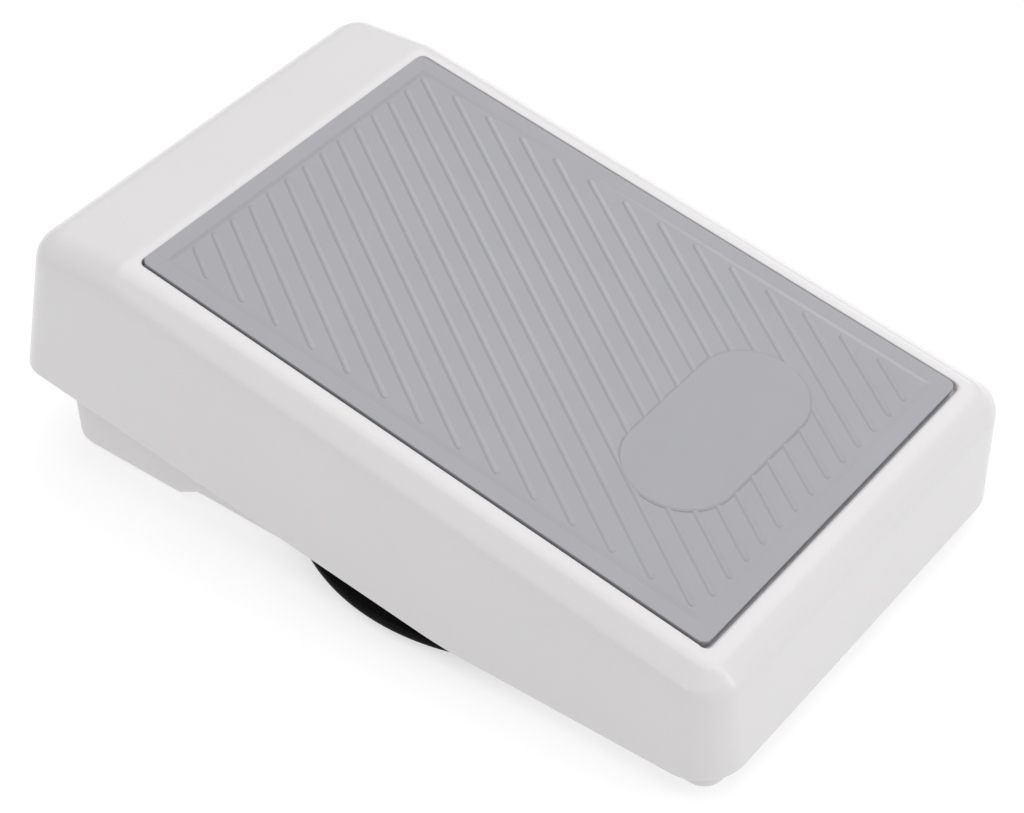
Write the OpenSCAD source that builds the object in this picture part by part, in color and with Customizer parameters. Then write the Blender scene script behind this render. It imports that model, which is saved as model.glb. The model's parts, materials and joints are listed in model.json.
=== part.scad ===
// Foot pedal for a sewing machine: a rocking treadle on a base tray with a cord reel underneath.
// X is across the pedal, Y runs towards the toe end, Z is up.
// The origin lies on the floor, under the middle of the pedal. All sizes are in millimetres.

/* [Tread pad] */
// Width of the pad
pad_w = 100; // [92:1:106]
// Length of the pad along its slope
pad_l = 156.8; // [148:0.4:166]
// Corner radius of the pad
pad_r = 2; // [1:0.5:4]
// Height of the pad above the cover round it
pad_proud = 0.8; // [0.4:0.1:1.4]
// Slope of the pad at rest, in degrees
pad_tilt = 10.8; // [9:0.2:12]
// Height of the middle of the pad above the floor
pad_height = 53.5; // [51:0.5:58]
// Plain border between the pad's edge and the crease
crease_border = 4.2; // [3:0.1:5]
// Plain border between the pad's edge and the ridges
ridge_border = 6.6; // [5.5:0.1:10]
// Width of one ridge
ridge_w = 1.45; // [1:0.05:2.5]
// Height of the ridges and the plaque
ridge_h = 0.5; // [0.3:0.1:1]
// Spacing of the ridges across the pad
ridge_pitch = 6.28; // [5:0.01:9]
// Angle of the ridges to the pad's width, in degrees
ridge_angle = 58.7; // [50:0.1:70]
// Length of the bare plaque, across the pad
plaque_l = 54.6; // [40:0.2:64]
// Width of the bare plaque, along the pad
plaque_w = 27.6; // [20:0.2:34]
// Distance of the plaque's middle from the pad's heel edge
plaque_from_heel = 32.3; // [26:0.1:45]
// Diameter of the studs that hold the pad in the cover
stud_d = 5; // [4:0.5:6]

/* [Top cover] */
// Cover's rim beside the pad
side_rim = 9.5; // [8.5:0.1:12]
// Cover's rim behind the pad, at the heel
heel_rim = 11; // [10:0.1:14]
// Cover's strip in front of the pad, at the toe
toe_rim = 28.4; // [25:0.2:32]
// Distance from the pad to where the toe strip turns down
strip_start = 1.6; // [1.2:0.1:4]
// Angle between the toe strip and the pad, in degrees
strip_drop = 13.1; // [10:0.1:15]
// Radius of the cover's upper edges and corners
edge_r = 9; // [7:0.5:9.5]
// Plan radius of the cover's lower corners
skirt_r = 7; // [5:0.5:9]
// How far the heel wall leans out at its foot
heel_flare = 0.3; // [0:0.1:2]
// How far the toe wall leans out at its foot
toe_flare = 8.1; // [6:0.1:10]
// Thickness of the cover's walls
cover_wall = 2.3; // [2:0.1:2.8]
// Thickness of the deck under the pad
deck_t = 2.3; // [1.8:0.1:3]
// Depth of the recess that the pad lies in
recess_depth = 2.2; // [1.6:0.1:2.8]
// Gap between the pad and the wall of its recess
pad_gap = 0.6; // [0.3:0.1:1]
// Height of the lower edge at the heel
heel_edge = 6.1; // [5.5:0.1:8]
// Length of the level lower edge at the heel
heel_run = 73.4; // [68:0.2:78]
// Rise of the lower edge from its bend to the toe, in degrees
toe_rise = 8.6; // [8:0.1:10]
// Thickness of the ribs under the deck
rib_t = 1.8; // [1.4:0.1:2.4]
// Depth of the ribs under the deck
rib_depth = 5; // [3:0.5:7]

/* [Pivot] */
// Diameter of the hinge axle
axle_d = 5; // [4:0.1:6]
// Height of the hinge axle
axle_z = 27; // [26:0.5:29]
// Travel of the treadle, in degrees
travel = 7.5; // [5:0.5:7.5]
// Radial running clearance of the bushes on the axle
run_gap = 0.05; // [0.02:0.01:0.09]
// Wall of the axle bushes
bush_wall = 1.5; // [1:0.1:2]
// Thickness of the bush flanges
bush_flange = 0.8; // [0.6:0.1:1.2]
// Gap between the axle's ends and the tray's walls
axle_room = 0.3; // [0.1:0.1:1]
// Thickness of the cover's ears
ear_t = 5; // [4:0.5:5.5]
// Wall round the bores of the ears and posts
boss_wall = 2.6; // [2:0.1:3]
// Thickness of the posts that carry the axle
post_t = 6; // [4:0.5:8]
// Thickness of the axle clips
clip_t = 0.7; // [0.5:0.1:0.9]

/* [Base tray] */
// Height of the tray's underside above the floor
base_lift = 2; // [1.5:0.1:3]
// Thickness of the tray's walls and floor
base_wall = 2.3; // [1.8:0.1:2.8]
// Gap between the cover and the tray's sides at the heel
side_gap = 0.7; // [0.5:0.1:1.5]
// How much narrower each side of the tray is at the toe
base_taper = 2.6; // [1:0.1:4]
// Gap between the cover and the tray at the heel
heel_gap = 0.9; // [0.6:0.1:2]
// Room between the cover's foot and the tray at the toe
toe_room = 7.1; // [6.5:0.1:9]
// Plan radius of the tray's corners
base_r = 7; // [6:0.5:9]
// How far the tray's rim stands inside the cover at the heel
heel_lap = 14; // [10:0.5:15]
// How far the tray's rim stands inside the cover at the toe
toe_lap = 8; // [5:0.5:9]
// Height of the hollow in the underside that holds the reel's flange
relief = 3.7; // [3.4:0.1:4.5]
// Length of the slope at each end of that hollow
step_run = 5.5; // [4:0.5:8]
// Gap in front of and behind the reel's flange
relief_gap = 1.9; // [1.2:0.1:3]

/* [Feet and stops] */
// Diameter of the rubber feet
foot_d = 14; // [10:0.5:16]
// Depth of the recess that holds a foot
foot_recess = 1.5; // [1:0.1:2]
// Distance of the feet from the tray's ends
foot_end = 12.5; // [11.5:0.5:15]
// Distance of the feet from the tray's sides
foot_side = 12; // [11.5:0.5:14]
// Diameter of the rubber bumpers
bumper_d = 10; // [8:0.5:11]
// Height of the rubber bumpers above their seats
bumper_h = 4; // [3:0.5:5]
// Height of the heel bumpers' tops above the floor
heel_stop_z = 27; // [24:0.5:28]
// Height of the toe bumpers' tops above the floor
toe_stop_z = 18; // [16:0.5:20]
// Gap that keeps touching pieces of two bodies apart
touch_gap = 0.3; // [0.2:0.05:0.5]

/* [Return springs] */
// Outer diameter of a return spring
spring_d = 12; // [10:0.5:13]
// Wire of a return spring
spring_wire = 1.2; // [0.9:0.1:1.3]
// Turns of a return spring
spring_turns = 7.5; // [6:0.5:8]
// Length of a return spring at rest
spring_len = 35; // [32:0.5:36]
// Gap between the spring cups and the tray's walls
spring_room = 2.8; // [2:0.1:4]
// Distance of the return springs in front of the axle
spring_arm = 67.7; // [64:0.5:70]

/* [Speed sensor] */
// Distance of the plunger in front of the axle
plunger_arm = 88; // [87:0.5:90]
// Diameter of the plunger
plunger_d = 8; // [7:0.5:9]
// Wall of the plunger's guide tube
guide_wall = 1.6; // [1.2:0.1:2]
// Height of the guide tube's mouth above the floor
guide_top = 31; // [30:0.5:33]
// Wire of the plunger spring
plunger_wire = 0.6; // [0.4:0.1:0.7]
// Turns of the plunger spring
plunger_turns = 5; // [4:0.5:5]
// Thickness of the control board
board_t = 1.6; // [1.2:0.1:2]
// Length of the control board, across the pedal
board_l = 50; // [44:1:52]
// Width of the control board, along the pedal
board_w = 20; // [18:0.5:22]
// Height of the control board above the tray's floor
board_lift = 8; // [6:0.5:9]

/* [Cord reel] */
// Diameter of the reel's lower flange
reel_d = 119; // [112:1:119]
// Distance of the reel's middle in front of the axle
reel_arm = 16.8; // [16:0.1:18]
// Thickness of the lower flange
flange_t = 2.25; // [1.8:0.05:2.4]
// Height of the lower flange above the floor
flange_lift = 2.15; // [1.5:0.05:2.3]
// Diameter of the reel's upper flange
drum_d = 93; // [88:0.5:94]
// Thickness of the reel's upper flange
drum_t = 1.6; // [1.2:0.1:2]
// Diameter of the drum's core
core_d = 40; // [36:1:44]
// Radial gap between the drum and its pocket
pocket_gap = 1.5; // [1:0.1:2]
// Height of the pocket's roof above the floor
pocket_top = 17; // [16.5:0.1:17.5]
// Diameter of the reel's spindle
spindle_d = 6; // [5:0.5:7]
// Width of each slip ring
ring_w = 2.4; // [2:0.1:2.8]
// Thickness of the slip rings
ring_t = 0.4; // [0.3:0.05:0.6]
// Width of the cord groove in the tray's underside
groove_w = 8; // [6:0.5:9]
// Height of the groove's roof above the floor
groove_top = 13; // [11:0.5:13.5]
// Distance of the cord groove from the middle
groove_x = 26; // [25:0.5:27]
// Diameter of the cord outlet's bore
outlet_d = 4.6; // [4:0.1:4.8]

/* [Hidden] */
$fn = 64;
// Facets round the cover's outer and inner corners
outer_fn = 32;
inner_fn = 16;
// Slack that lets a cut pass cleanly through a face
cut = 1;
// Radial clearance of a pressed or screwed piece
seat_gap = 0.02;
// Clearance of a loose drop-in piece
slip = 0.1;

// Fixed sizes of the pad: depth of the crease, shift of the ridges in pitches, head and play of a stud
crease_depth = 0.25;
ridge_shift = 0.12;
stud_head = 1.4;
stud_rim = 1;
stud_play = 0.2;

// Fixed sizes of the cover: thin slice at its foot, and how far its hollow runs out below that
foot_slice = 0.02;
hollow_run = 4;

// Fixed sizes of the pivot: axle past its clips, clip groove, rims of the clips and the bush flanges
axle_stub = 0.5;
clip_depth = 0.5;
clip_rim = 2;
clip_mouth = 3.4;
bush_rim = 1.5;

// Fixed sizes of the feet, the bumpers and the spring cups
foot_stem_d = 5;
foot_boss_h = 2.5;
foot_cap = 1;
foot_wall = 1.2;
foot_chamfer = 0.8;
bumper_stem_d = 4;
bumper_stem = 5;
bumper_dome = 1;
bumper_wall = 1;
stop_room = 3;
cup_h = 2;
cup_wall = 1.5;

// Fixed sizes of the small screws: shank, head, wall of a screw boss, thread below the piece that is held
small_screw_d = 2.2;
small_head_d = 4.2;
small_head_h = 1.3;
screw_wall = 2;
screw_hold = 4.5;
screw_spare = 0.3;

// Fixed sizes of the sensor: room round the guide, spare stroke, magnet, and the pieces on the board
guide_lift = 0.2;
guide_boss_h = 4.7;
guide_ear_t = 2.3;
guide_ear_reach = 4.2;
plunger_tip = 2;
plunger_spare = 0.5;
plunger_pad_rim = 2;
spring_play = 0.8;
magnet_rise = 4;
magnet_r = 2;
magnet_inset = 0.8;
board_gap = 0.6;
board_side_gap = 4;
board_screw_in = 3.4;
lead_pitch = 1.27;
connector = [9, 6, 7];
connector_wall = 1;
connector_in = 9;
wire_r = 0.6;

// Fixed sizes of the reel: hub, spindle, washer, screws, rings, brushes and the flange's edge
hub_rise = 1.6;
hub_wall = 3;
drum_web = 1.8;
drum_land = 6;
washer_t = 0.9;
washer_rim = 2.4;
spindle_screw_d = 3;
spindle_screw_len = 7;
spindle_head_h = 1.8;
spindle_wall = 2.4;
spindle_boss_h = 7;
spindle_cap = 1.5;
reel_screw_d = 2.6;
reel_screw_len = 7;
reel_screw_in = 6;
reel_head_h = 0.6;
reel_post_wall = 1.7;
flange_lip = 0.7;
flange_rim = 3.2;
flange_eye = 6;
finger_d = 16;
finger_in = 18;
ring_space = 1.6;
brush_inset = 0.3;
brush_h = 4;
block_cap = 1.2;
block_end = 1.4;
block_side = 1.8;
block_ear = 3;
block_ear_h = 2;
block_ear_wall = 1.7;
roof_skin = 0.5;

// Fixed sizes of the cord outlet: wall under its bore, flange, length in the tray, flare of its mouths
outlet_floor = 0.9;
outlet_lip = 1.2;
outlet_rim = 1.8;
outlet_step = 1;
outlet_len = 8;
outlet_flare = 0.6;

// Places of the pad and the cover
tilt_c = cos(pad_tilt);
tilt_s = sin(pad_tilt);
half_w = pad_w / 2 + side_rim;
corner_u = half_w - edge_r;
heel_v = -(pad_l / 2 + heel_rim - edge_r);
strip_v = pad_l / 2 + strip_start;
toe_v = pad_l / 2 + toe_rim - edge_r;
edge_w = -(pad_proud + edge_r);
toe_w = edge_w - tan(strip_drop) * (toe_v - strip_v);
heel_reach = -heel_v * tilt_c + edge_w * tilt_s + edge_r + heel_flare;
toe_reach = toe_v * tilt_c - toe_w * tilt_s + edge_r + toe_flare;
heel_y = -(heel_reach + toe_reach) / 2;
toe_y = -heel_y;
pad_y = heel_y + heel_reach;
bend_y = heel_y + heel_run;
inner_r = edge_r - cover_wall;
recess_w = -(pad_proud + recess_depth);
deck_w = recess_w - deck_t;
toe_edge = heel_edge + tan(toe_rise) * (toe_y - bend_y);

// Places of the tray's walls
base_heel = heel_y + cover_wall + heel_gap;
base_toe = toe_y - toe_room;
base_heel_half = half_w - cover_wall - side_gap;
base_toe_half = base_heel_half - base_taper;
floor_z = base_lift + base_wall;
relief_z = base_lift + relief;

// Half the inner width of the tray at a place y along the pedal
function tray_room(y) = base_heel_half - base_taper * (y - base_heel) / (base_toe - base_heel) - base_wall;

// Places of the pivot
axle_r = axle_d / 2;
axle_y = bend_y;
bush_r = axle_r + run_gap + bush_wall;
boss_r = bush_r + boss_wall;
clip_x = tray_room(axle_y) - axle_room - axle_stub - 2 * clip_t;
ear_x = clip_x - touch_gap - ear_t;
post_x = ear_x - bush_flange - touch_gap;
clip_seat_r = axle_r - clip_depth;
axle_half = clip_x + 2 * clip_t + axle_stub;

// Places of the reel
reel_y = axle_y + reel_arm;
flange_top = flange_lift + flange_t;
relief_front = reel_y + reel_d / 2 + relief_gap;
relief_back = reel_y - reel_d / 2 - relief_gap;
pocket_r = drum_d / 2 + pocket_gap;
roof_z = pocket_top + base_wall;
drum_top = pocket_top - ring_t - touch_gap - slip;
spindle_r = spindle_d / 2;
hub_z = flange_top + hub_rise;
spigot_r = core_d / 2 - drum_web;
spindle_hole_top = roof_z + spindle_boss_h - spindle_cap;
brush_r = ring_w / 2 - brush_inset;
first_ring_r = spindle_r + spindle_wall + touch_gap + block_end + brush_r;
ring_r = [first_ring_r, first_ring_r + ring_w + ring_space];
brush_top = roof_z + brush_h;
block_top = brush_top + block_cap;
brush_mid_y = reel_y + (ring_r[0] + ring_r[1]) / 2;
brush_half_l = (ring_r[1] - ring_r[0]) / 2 + brush_r + block_end;
brush_half_w = brush_r + block_side;
brush_ear_x = brush_half_w + block_ear;
reel_screw_r = core_d / 2 - reel_screw_in;
reel_screw_seat = flange_lift + flange_lip + reel_head_h;

// Places of the tray's rim, feet and cord groove
heel_rim_z = heel_edge + heel_lap;
toe_rim_z = toe_edge + toe_lap;
foot_heel_y = base_heel + foot_end;
foot_toe_y = base_toe - foot_end;
foot_boss_z = floor_z + foot_boss_h;
outlet_z = base_lift + outlet_floor + outlet_d / 2;
groove_start = reel_y + core_d / 2;

// Places of the stops and springs
bumper_r = bumper_d / 2;
heel_stop_y = foot_heel_y;
heel_stop_x = base_heel_half - foot_side - foot_d - bumper_r;
toe_stop_x = base_toe_half - base_wall - bumper_r - stop_room;
toe_stop_y = foot_toe_y - foot_d / 2 - bumper_r - 2 * stop_room;
spring_y = axle_y + spring_arm;
spring_x = tray_room(spring_y) - spring_room - cup_wall - spring_d / 2;
spring_seat_z = relief_z + base_wall + cup_h;
spring_top = spring_seat_z + spring_len;
toe_post_z = axle_z + (toe_stop_z + touch_gap - axle_z) * cos(travel)
    + (toe_stop_y + bumper_r - axle_y) * sin(travel);

// Places of the sensor
plunger_y = axle_y + plunger_arm;
plunger_r = plunger_d / 2;
guide_r = plunger_r + run_gap + guide_wall;
stroke = plunger_arm * sin(travel) + plunger_spare;
guide_foot = relief_z + base_wall + guide_lift;
guide_floor = guide_foot + guide_wall;
guide_ear_z = floor_z + guide_boss_h;
guide_screw_x = guide_r + guide_ear_reach;
plunger_z = guide_floor + (plunger_turns + 1) * plunger_wire + stroke;
tip_z = guide_top + stroke + plunger_tip;
magnet_z = plunger_z + magnet_rise;
board_z = floor_z + board_lift;
board_top = board_z + board_t;
board_y = plunger_y + guide_r + board_gap;
board_mid_y = board_y + board_w / 2;
board_x1 = groove_x - groove_w / 2 - base_wall - board_side_gap;
board_x0 = board_x1 - board_l;
connector_x = board_x1 - board_screw_in - connector_in;

// Puts its children in the pad's own frame: width, slope length, height above the pad
module on_pad() {
    translate([0, pad_y, pad_height]) rotate([pad_tilt, 0, 0]) children();
}

// Copies its children to both sides of the pedal
module both_sides() {
    children();
    mirror([1, 0, 0]) children();
}

// Turns an outline of Y and Z into a solid across the pedal
module across(width) {
    rotate([90, 0, 90]) linear_extrude(width, center = true) children();
}

// Rectangle with round corners, centred
module round_rect(w, l, r) {
    square([w - 2 * r, l], center = true);
    square([w, l - 2 * r], center = true);
    for (x = [-1, 1], y = [-1, 1])
        translate([x * (w / 2 - r), y * (l / 2 - r)]) circle(r);
}

// Slot with round ends that runs from point a to point b
module slot(a, b, w) {
    span = norm(b - a);
    translate(a) rotate(atan2(b[1] - a[1], b[0] - a[0])) {
        circle(w / 2);
        translate([span, 0]) circle(w / 2);
        translate([0, -w / 2]) square([span, w]);
    }
}

// Pan-head screw pointing up along Z, with its head's upper face at the origin
module screw_up(d, len, head_d, head_h) {
    cylinder(d = d, h = len);
    translate([0, 0, -head_h]) difference() {
        cylinder(d = head_d, h = head_h);
        translate([0, 0, -cut]) cylinder(d = d * 0.8, h = cut + head_h * 0.5, $fn = 6);
    }
}

// Pan-head screw pointing down along Z, with its head's lower face at the origin
module screw_down(d, len, head_d, head_h) {
    mirror([0, 0, 1]) screw_up(d, len, head_d, head_h);
}

// Share of the coiled height that a spring has climbed at share t of its length
function climb(t, flat) = max(0, min(1, (t - flat) / (1 - 2 * flat)));

// Compression spring with closed ends, standing on the origin
module coil_spring(d, wire, turns, len, sides = 8, steps = 14) {
    flat = 0.75 / turns;
    mean_r = (d - wire) / 2;
    rings = round(turns * steps);
    points = [
        for (i = [0 : rings], k = [0 : sides - 1])
            let (
                t = i / rings,
                turn = 360 * turns * t,
                around = 360 * k / sides,
                r = mean_r + wire / 2 * cos(around),
                z = wire / 2 + (len - wire) * climb(t, flat) + wire / 2 * sin(around)
            )
            [r * cos(turn), r * sin(turn), z]
    ];
    skin = [
        for (i = [0 : rings - 1], k = [0 : sides - 1])
            let (a = i * sides + k, b = i * sides + (k + 1) % sides)
            each [[a, a + sides, b], [b, a + sides, b + sides]]
    ];
    first = [for (k = [0 : sides - 1]) k];
    last = [for (k = [sides - 1 : -1 : 0]) rings * sides + k];
    polyhedron(points, concat([first], skin, [last]), convexity = 8);
}

// Plan of the tray: round corners, narrower at the toe, drawn inset from its outer face
module tray_plan(inset) {
    r = base_r - inset;
    heel = [base_heel_half - base_r, base_heel + base_r];
    toe = [base_toe_half - base_r, base_toe - base_r];
    lean = atan((heel[0] - toe[0]) / (toe[1] - heel[1]));
    side = (r - seat_gap) * [cos(lean), sin(lean)];
    for (x = [-1, 1], p = [heel, toe])
        translate([x * p[0], p[1]]) circle(r);
    polygon([
        heel + side, toe + side, toe + [0, r], [-toe[0], toe[1] + r],
        [-toe[0] - side[0], toe[1] + side[1]], [-heel[0] - side[0], heel[1] + side[1]],
        [-heel[0], heel[1] - r], heel + [0, -r]
    ]);
}

// Side view of the tray, lifted from its underside, with the rim raised above it
module tray_side(lift, rise) {
    low = base_lift + lift;
    high = relief_z + lift;
    heel = base_heel - cut;
    toe = base_toe + cut;
    polygon([
        [heel, low], [relief_back - step_run, low], [relief_back, high], [relief_front, high],
        [relief_front + step_run, low], [toe, low], [toe, toe_rim_z + rise], [heel, heel_rim_z + rise]
    ]);
}

// Posts that carry the axle, standing on the pocket's roof
module axle_posts() {
    both_sides() translate([post_x - post_t, axle_y, 0]) {
        translate([0, -boss_r, pocket_top]) cube([post_t, 2 * boss_r, axle_z - pocket_top]);
        translate([0, 0, axle_z]) rotate([0, 90, 0]) cylinder(r = boss_r, h = post_t);
        for (y = [-1, 1])
            translate([-rib_t * 2, y * (boss_r - rib_t / 2) - rib_t / 2, pocket_top])
                cube([rib_t * 2 + cut, rib_t, axle_z - pocket_top]);
    }
}

// Places of the rubber feet, on the floor
module foot_places() {
    for (x = [-1, 1]) {
        translate([x * (base_heel_half - foot_side), foot_heel_y, 0]) children();
        translate([x * (base_toe_half - foot_side), foot_toe_y, 0]) children();
    }
}

// Places of the bumper seats at the heel
module heel_stops() {
    for (x = [-1, 1])
        translate([x * heel_stop_x, heel_stop_y, heel_stop_z - bumper_h]) children();
}

// Places of the bumper seats at the toe
module toe_stops() {
    for (x = [-1, 1])
        translate([x * toe_stop_x, toe_stop_y, toe_stop_z - bumper_h]) children();
}

// Places of the guide tube's screws, on the floor
module guide_screw_places() {
    for (x = [-1, 1])
        translate([x * guide_screw_x, plunger_y, 0]) children();
}

// Places of the circuit board's screws, on the floor
module board_screw_places() {
    for (x = [board_x0 + board_screw_in, board_x1 - board_screw_in])
        translate([x, board_mid_y, 0]) children();
}

// Places of the brush block's screws, on the floor
module brush_screw_places() {
    for (x = [-1, 1])
        translate([x * brush_ear_x, brush_mid_y, 0]) children();
}

// Places of the three screws that join the reel's halves, on the floor
module reel_screw_places() {
    for (a = [0 : 120 : 359])
        rotate(a) translate([0, reel_screw_r, 0]) children();
}

// Round bosses on the tray's floor
module tray_bosses() {
    screw_boss_d = small_screw_d + 2 * screw_wall;
    foot_places() translate([0, 0, base_lift])
        cylinder(d = foot_d + 2 * foot_wall, h = foot_boss_z - base_lift);
    heel_stops() translate([0, 0, base_lift + bumper_h - heel_stop_z])
        cylinder(r = bumper_r + bumper_wall, h = heel_stop_z - bumper_h - base_lift);
    toe_stops() translate([0, 0, base_lift + bumper_h - toe_stop_z])
        cylinder(r = bumper_r + bumper_wall, h = toe_stop_z - bumper_h - base_lift);
    for (x = [-1, 1])
        translate([x * spring_x, spring_y, relief_z])
            cylinder(d = spring_d + 2 * cup_wall, h = spring_seat_z + cup_h - relief_z);
    guide_screw_places() translate([0, 0, base_lift])
        cylinder(d = screw_boss_d, h = guide_ear_z - base_lift);
    board_screw_places() translate([0, 0, base_lift])
        cylinder(d = screw_boss_d, h = board_z - base_lift);
}

// Ring-shaped seat for the end of a return spring
module spring_seat(h) {
    difference() {
        cylinder(d = spring_d + 2 * slip, h = h);
        translate([0, 0, -cut]) cylinder(d = spring_d - 2 * spring_wire - 2 * slip, h = h + 2 * cut);
    }
}

// Holes of the bosses: bumper stems, spring seats and screws
module tray_boss_holes() {
    screw_hole_d = small_screw_d + 2 * seat_gap;
    heel_stops() translate([0, 0, -bumper_stem - slip])
        cylinder(d = bumper_stem_d + 2 * seat_gap, h = bumper_stem + slip + cut);
    toe_stops() translate([0, 0, -bumper_stem - slip])
        cylinder(d = bumper_stem_d + 2 * seat_gap, h = bumper_stem + slip + cut);
    for (x = [-1, 1])
        translate([x * spring_x, spring_y, spring_seat_z]) spring_seat(cup_h + cut);
    guide_screw_places() translate([0, 0, guide_ear_z - screw_hold - screw_spare])
        cylinder(d = screw_hole_d, h = screw_hold + screw_spare + cut);
    board_screw_places() translate([0, 0, board_z - screw_hold - screw_spare])
        cylinder(d = screw_hole_d, h = screw_hold + screw_spare + cut);
    brush_screw_places() translate([0, 0, pocket_top + roof_skin])
        cylinder(d = screw_hole_d, h = base_wall + cut);
}

// Block round the cord groove, or the groove itself, as wide and high as given
module groove_block(w, low, high, start, end) {
    translate([groove_x - w / 2, start, low]) cube([w, end - start, high - low]);
}

// White tray: floor with a hollow for the reel, a round pocket, a cord groove, posts and bosses
module base_tray() {
    block_w = groove_w + 2 * base_wall;
    color("whitesmoke") difference() {
        union() {
            difference() {
                intersection() {
                    linear_extrude(2 * toe_rim_z) tray_plan(0);
                    across(4 * half_w) tray_side(0, 0);
                }
                intersection() {
                    linear_extrude(2 * toe_rim_z) tray_plan(base_wall);
                    across(4 * half_w) tray_side(base_wall, toe_rim_z / 2);
                }
            }
            translate([0, reel_y, relief_z]) cylinder(r = pocket_r + base_wall, h = roof_z - relief_z);
            translate([0, reel_y, pocket_top])
                cylinder(r = spindle_r + spindle_wall, h = base_wall + spindle_boss_h);
            groove_block(block_w, relief_z, groove_top + base_wall, groove_start, base_toe - base_wall);
            groove_block(block_w, base_lift, relief_z, relief_front, base_toe - base_wall);
            axle_posts();
            tray_bosses();
        }
        translate([0, reel_y, 0]) cylinder(r = pocket_r, h = pocket_top);
        groove_block(groove_w, 0, groove_top, groove_start, base_toe + cut);
        translate([0, axle_y, axle_z]) rotate([0, 90, 0])
            cylinder(r = axle_r + seat_gap, h = 2 * half_w, center = true);
        translate([0, reel_y, pocket_top - cut])
            cylinder(r = spindle_r + seat_gap, h = spindle_hole_top - pocket_top + cut);
        for (r = ring_r)
            translate([0, reel_y + r, pocket_top - cut])
                cylinder(r = brush_r + slip, h = base_wall + 2 * cut);
        foot_places() {
            cylinder(d = foot_d + 2 * slip, h = base_lift + foot_recess);
            cylinder(d = foot_stem_d + 2 * seat_gap, h = foot_boss_z - foot_cap);
        }
        tray_boss_holes();
    }
}

// Four rubber feet, each with a stem in its boss and a chamfered tread
module rubber_feet() {
    color("dimgray") foot_places() {
        cylinder(d1 = foot_d - 2 * foot_chamfer, d2 = foot_d, h = foot_chamfer);
        translate([0, 0, foot_chamfer]) cylinder(d = foot_d, h = base_lift + foot_recess - foot_chamfer);
        cylinder(d = foot_stem_d, h = foot_boss_z - foot_cap - slip);
    }
}

// Steel spindle that hangs from the pocket's roof and carries the reel
module reel_spindle() {
    low = hub_z - slip;
    color("silver") translate([0, reel_y, low]) difference() {
        cylinder(r = spindle_r, h = spindle_hole_top - slip - low);
        translate([0, 0, -cut])
            cylinder(d = spindle_screw_d + 2 * seat_gap, h = spindle_screw_len + 2 * cut);
    }
}

// Core that the cord winds on: hollow, with a hub on the spindle, screw posts and a spigot on top
module reel_drum() {
    post_d = reel_screw_d + 2 * reel_post_wall;
    color("dimgray") translate([0, reel_y, 0]) difference() {
        translate([0, 0, flange_top]) union() {
            cylinder(d = core_d, h = drum_top - drum_t - seat_gap - flange_top);
            cylinder(r = spigot_r - seat_gap, h = drum_top - flange_top);
        }
        translate([0, 0, hub_z]) difference() {
            cylinder(r = core_d / 2 - drum_web, h = drum_top - drum_t - hub_z - drum_web);
            cylinder(r = spindle_r + run_gap + hub_wall, h = drum_top);
            reel_screw_places() cylinder(d = post_d, h = drum_top);
        }
        translate([0, 0, flange_top - cut]) difference() {
            cylinder(r = core_d / 2 - drum_web, h = hub_z - flange_top + cut + slip);
            reel_screw_places() translate([0, 0, -cut]) cylinder(d = post_d, h = drum_top);
        }
        translate([0, 0, flange_top]) cylinder(r = spindle_r + run_gap, h = drum_top);
        reel_screw_places() translate([0, 0, flange_top - cut])
            cylinder(d = reel_screw_d + 2 * seat_gap, h = reel_screw_len + cut);
    }
}

// Upper flange of the reel, pressed onto the core's spigot, with lightening holes
module upper_flange() {
    hole_d = (drum_d - core_d) / 2 - 2 * drum_land;
    color("dimgray") translate([0, reel_y, drum_top - drum_t]) difference() {
        cylinder(d = drum_d, h = drum_t);
        translate([0, 0, -cut]) cylinder(r = spigot_r, h = drum_t + 2 * cut);
        for (a = [30 : 60 : 359])
            rotate(a) translate([(core_d + drum_d) / 4, 0, -cut]) cylinder(d = hole_d, h = drum_t + 2 * cut);
    }
}

// Two brass rings on the drum, one for each conductor of the cord
module slip_rings() {
    color("goldenrod") translate([0, reel_y, drum_top]) for (r = ring_r)
        difference() {
            cylinder(r = r + ring_w / 2, h = ring_t);
            translate([0, 0, -cut]) cylinder(r = r - ring_w / 2, h = ring_t + 2 * cut);
        }
}

// Black lower flange of the reel, as wide as the pedal, turned by its rim or by two finger dimples
module reel_flange() {
    half = reel_d / 2;
    face = flange_lift + flange_lip;
    color("black") translate([0, reel_y, 0]) difference() {
        rotate_extrude() polygon([
            [0, face], [half - flange_rim - flange_lip, face], [half - flange_rim, flange_lift],
            [half - flange_lip, flange_lift], [half, face], [half, flange_top - flange_lip],
            [half - flange_lip, flange_top], [0, flange_top]
        ]);
        cylinder(r = spindle_r + flange_eye, h = flange_top + cut);
        reel_screw_places() {
            cylinder(d = reel_screw_d + 2 * slip, h = flange_top + cut);
            cylinder(d = 2 * reel_screw_d, h = reel_screw_seat);
        }
        for (a = [45, 225])
            rotate(a) translate([half - finger_in, 0, 0]) cylinder(d = finger_d, h = reel_screw_seat);
    }
}

// Three screws that hold the lower flange to the drum
module reel_screws() {
    color("silver") translate([0, reel_y, reel_screw_seat])
        reel_screw_places() screw_up(reel_screw_d, reel_screw_len, 2 * (reel_screw_d - slip), reel_head_h);
}

// Washer that keeps the reel on its spindle
module spindle_washer() {
    color("silver") translate([0, reel_y, hub_z - slip - washer_t]) difference() {
        cylinder(r = spindle_r + washer_rim, h = washer_t);
        translate([0, 0, -cut]) cylinder(d = spindle_screw_d + 2 * slip, h = washer_t + 2 * cut);
    }
}

// Screw in the spindle's end
module spindle_screw() {
    color("silver") translate([0, reel_y, hub_z - slip - washer_t])
        screw_up(spindle_screw_d, washer_t + spindle_screw_len, 2 * spindle_screw_d, spindle_head_h);
}

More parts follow.
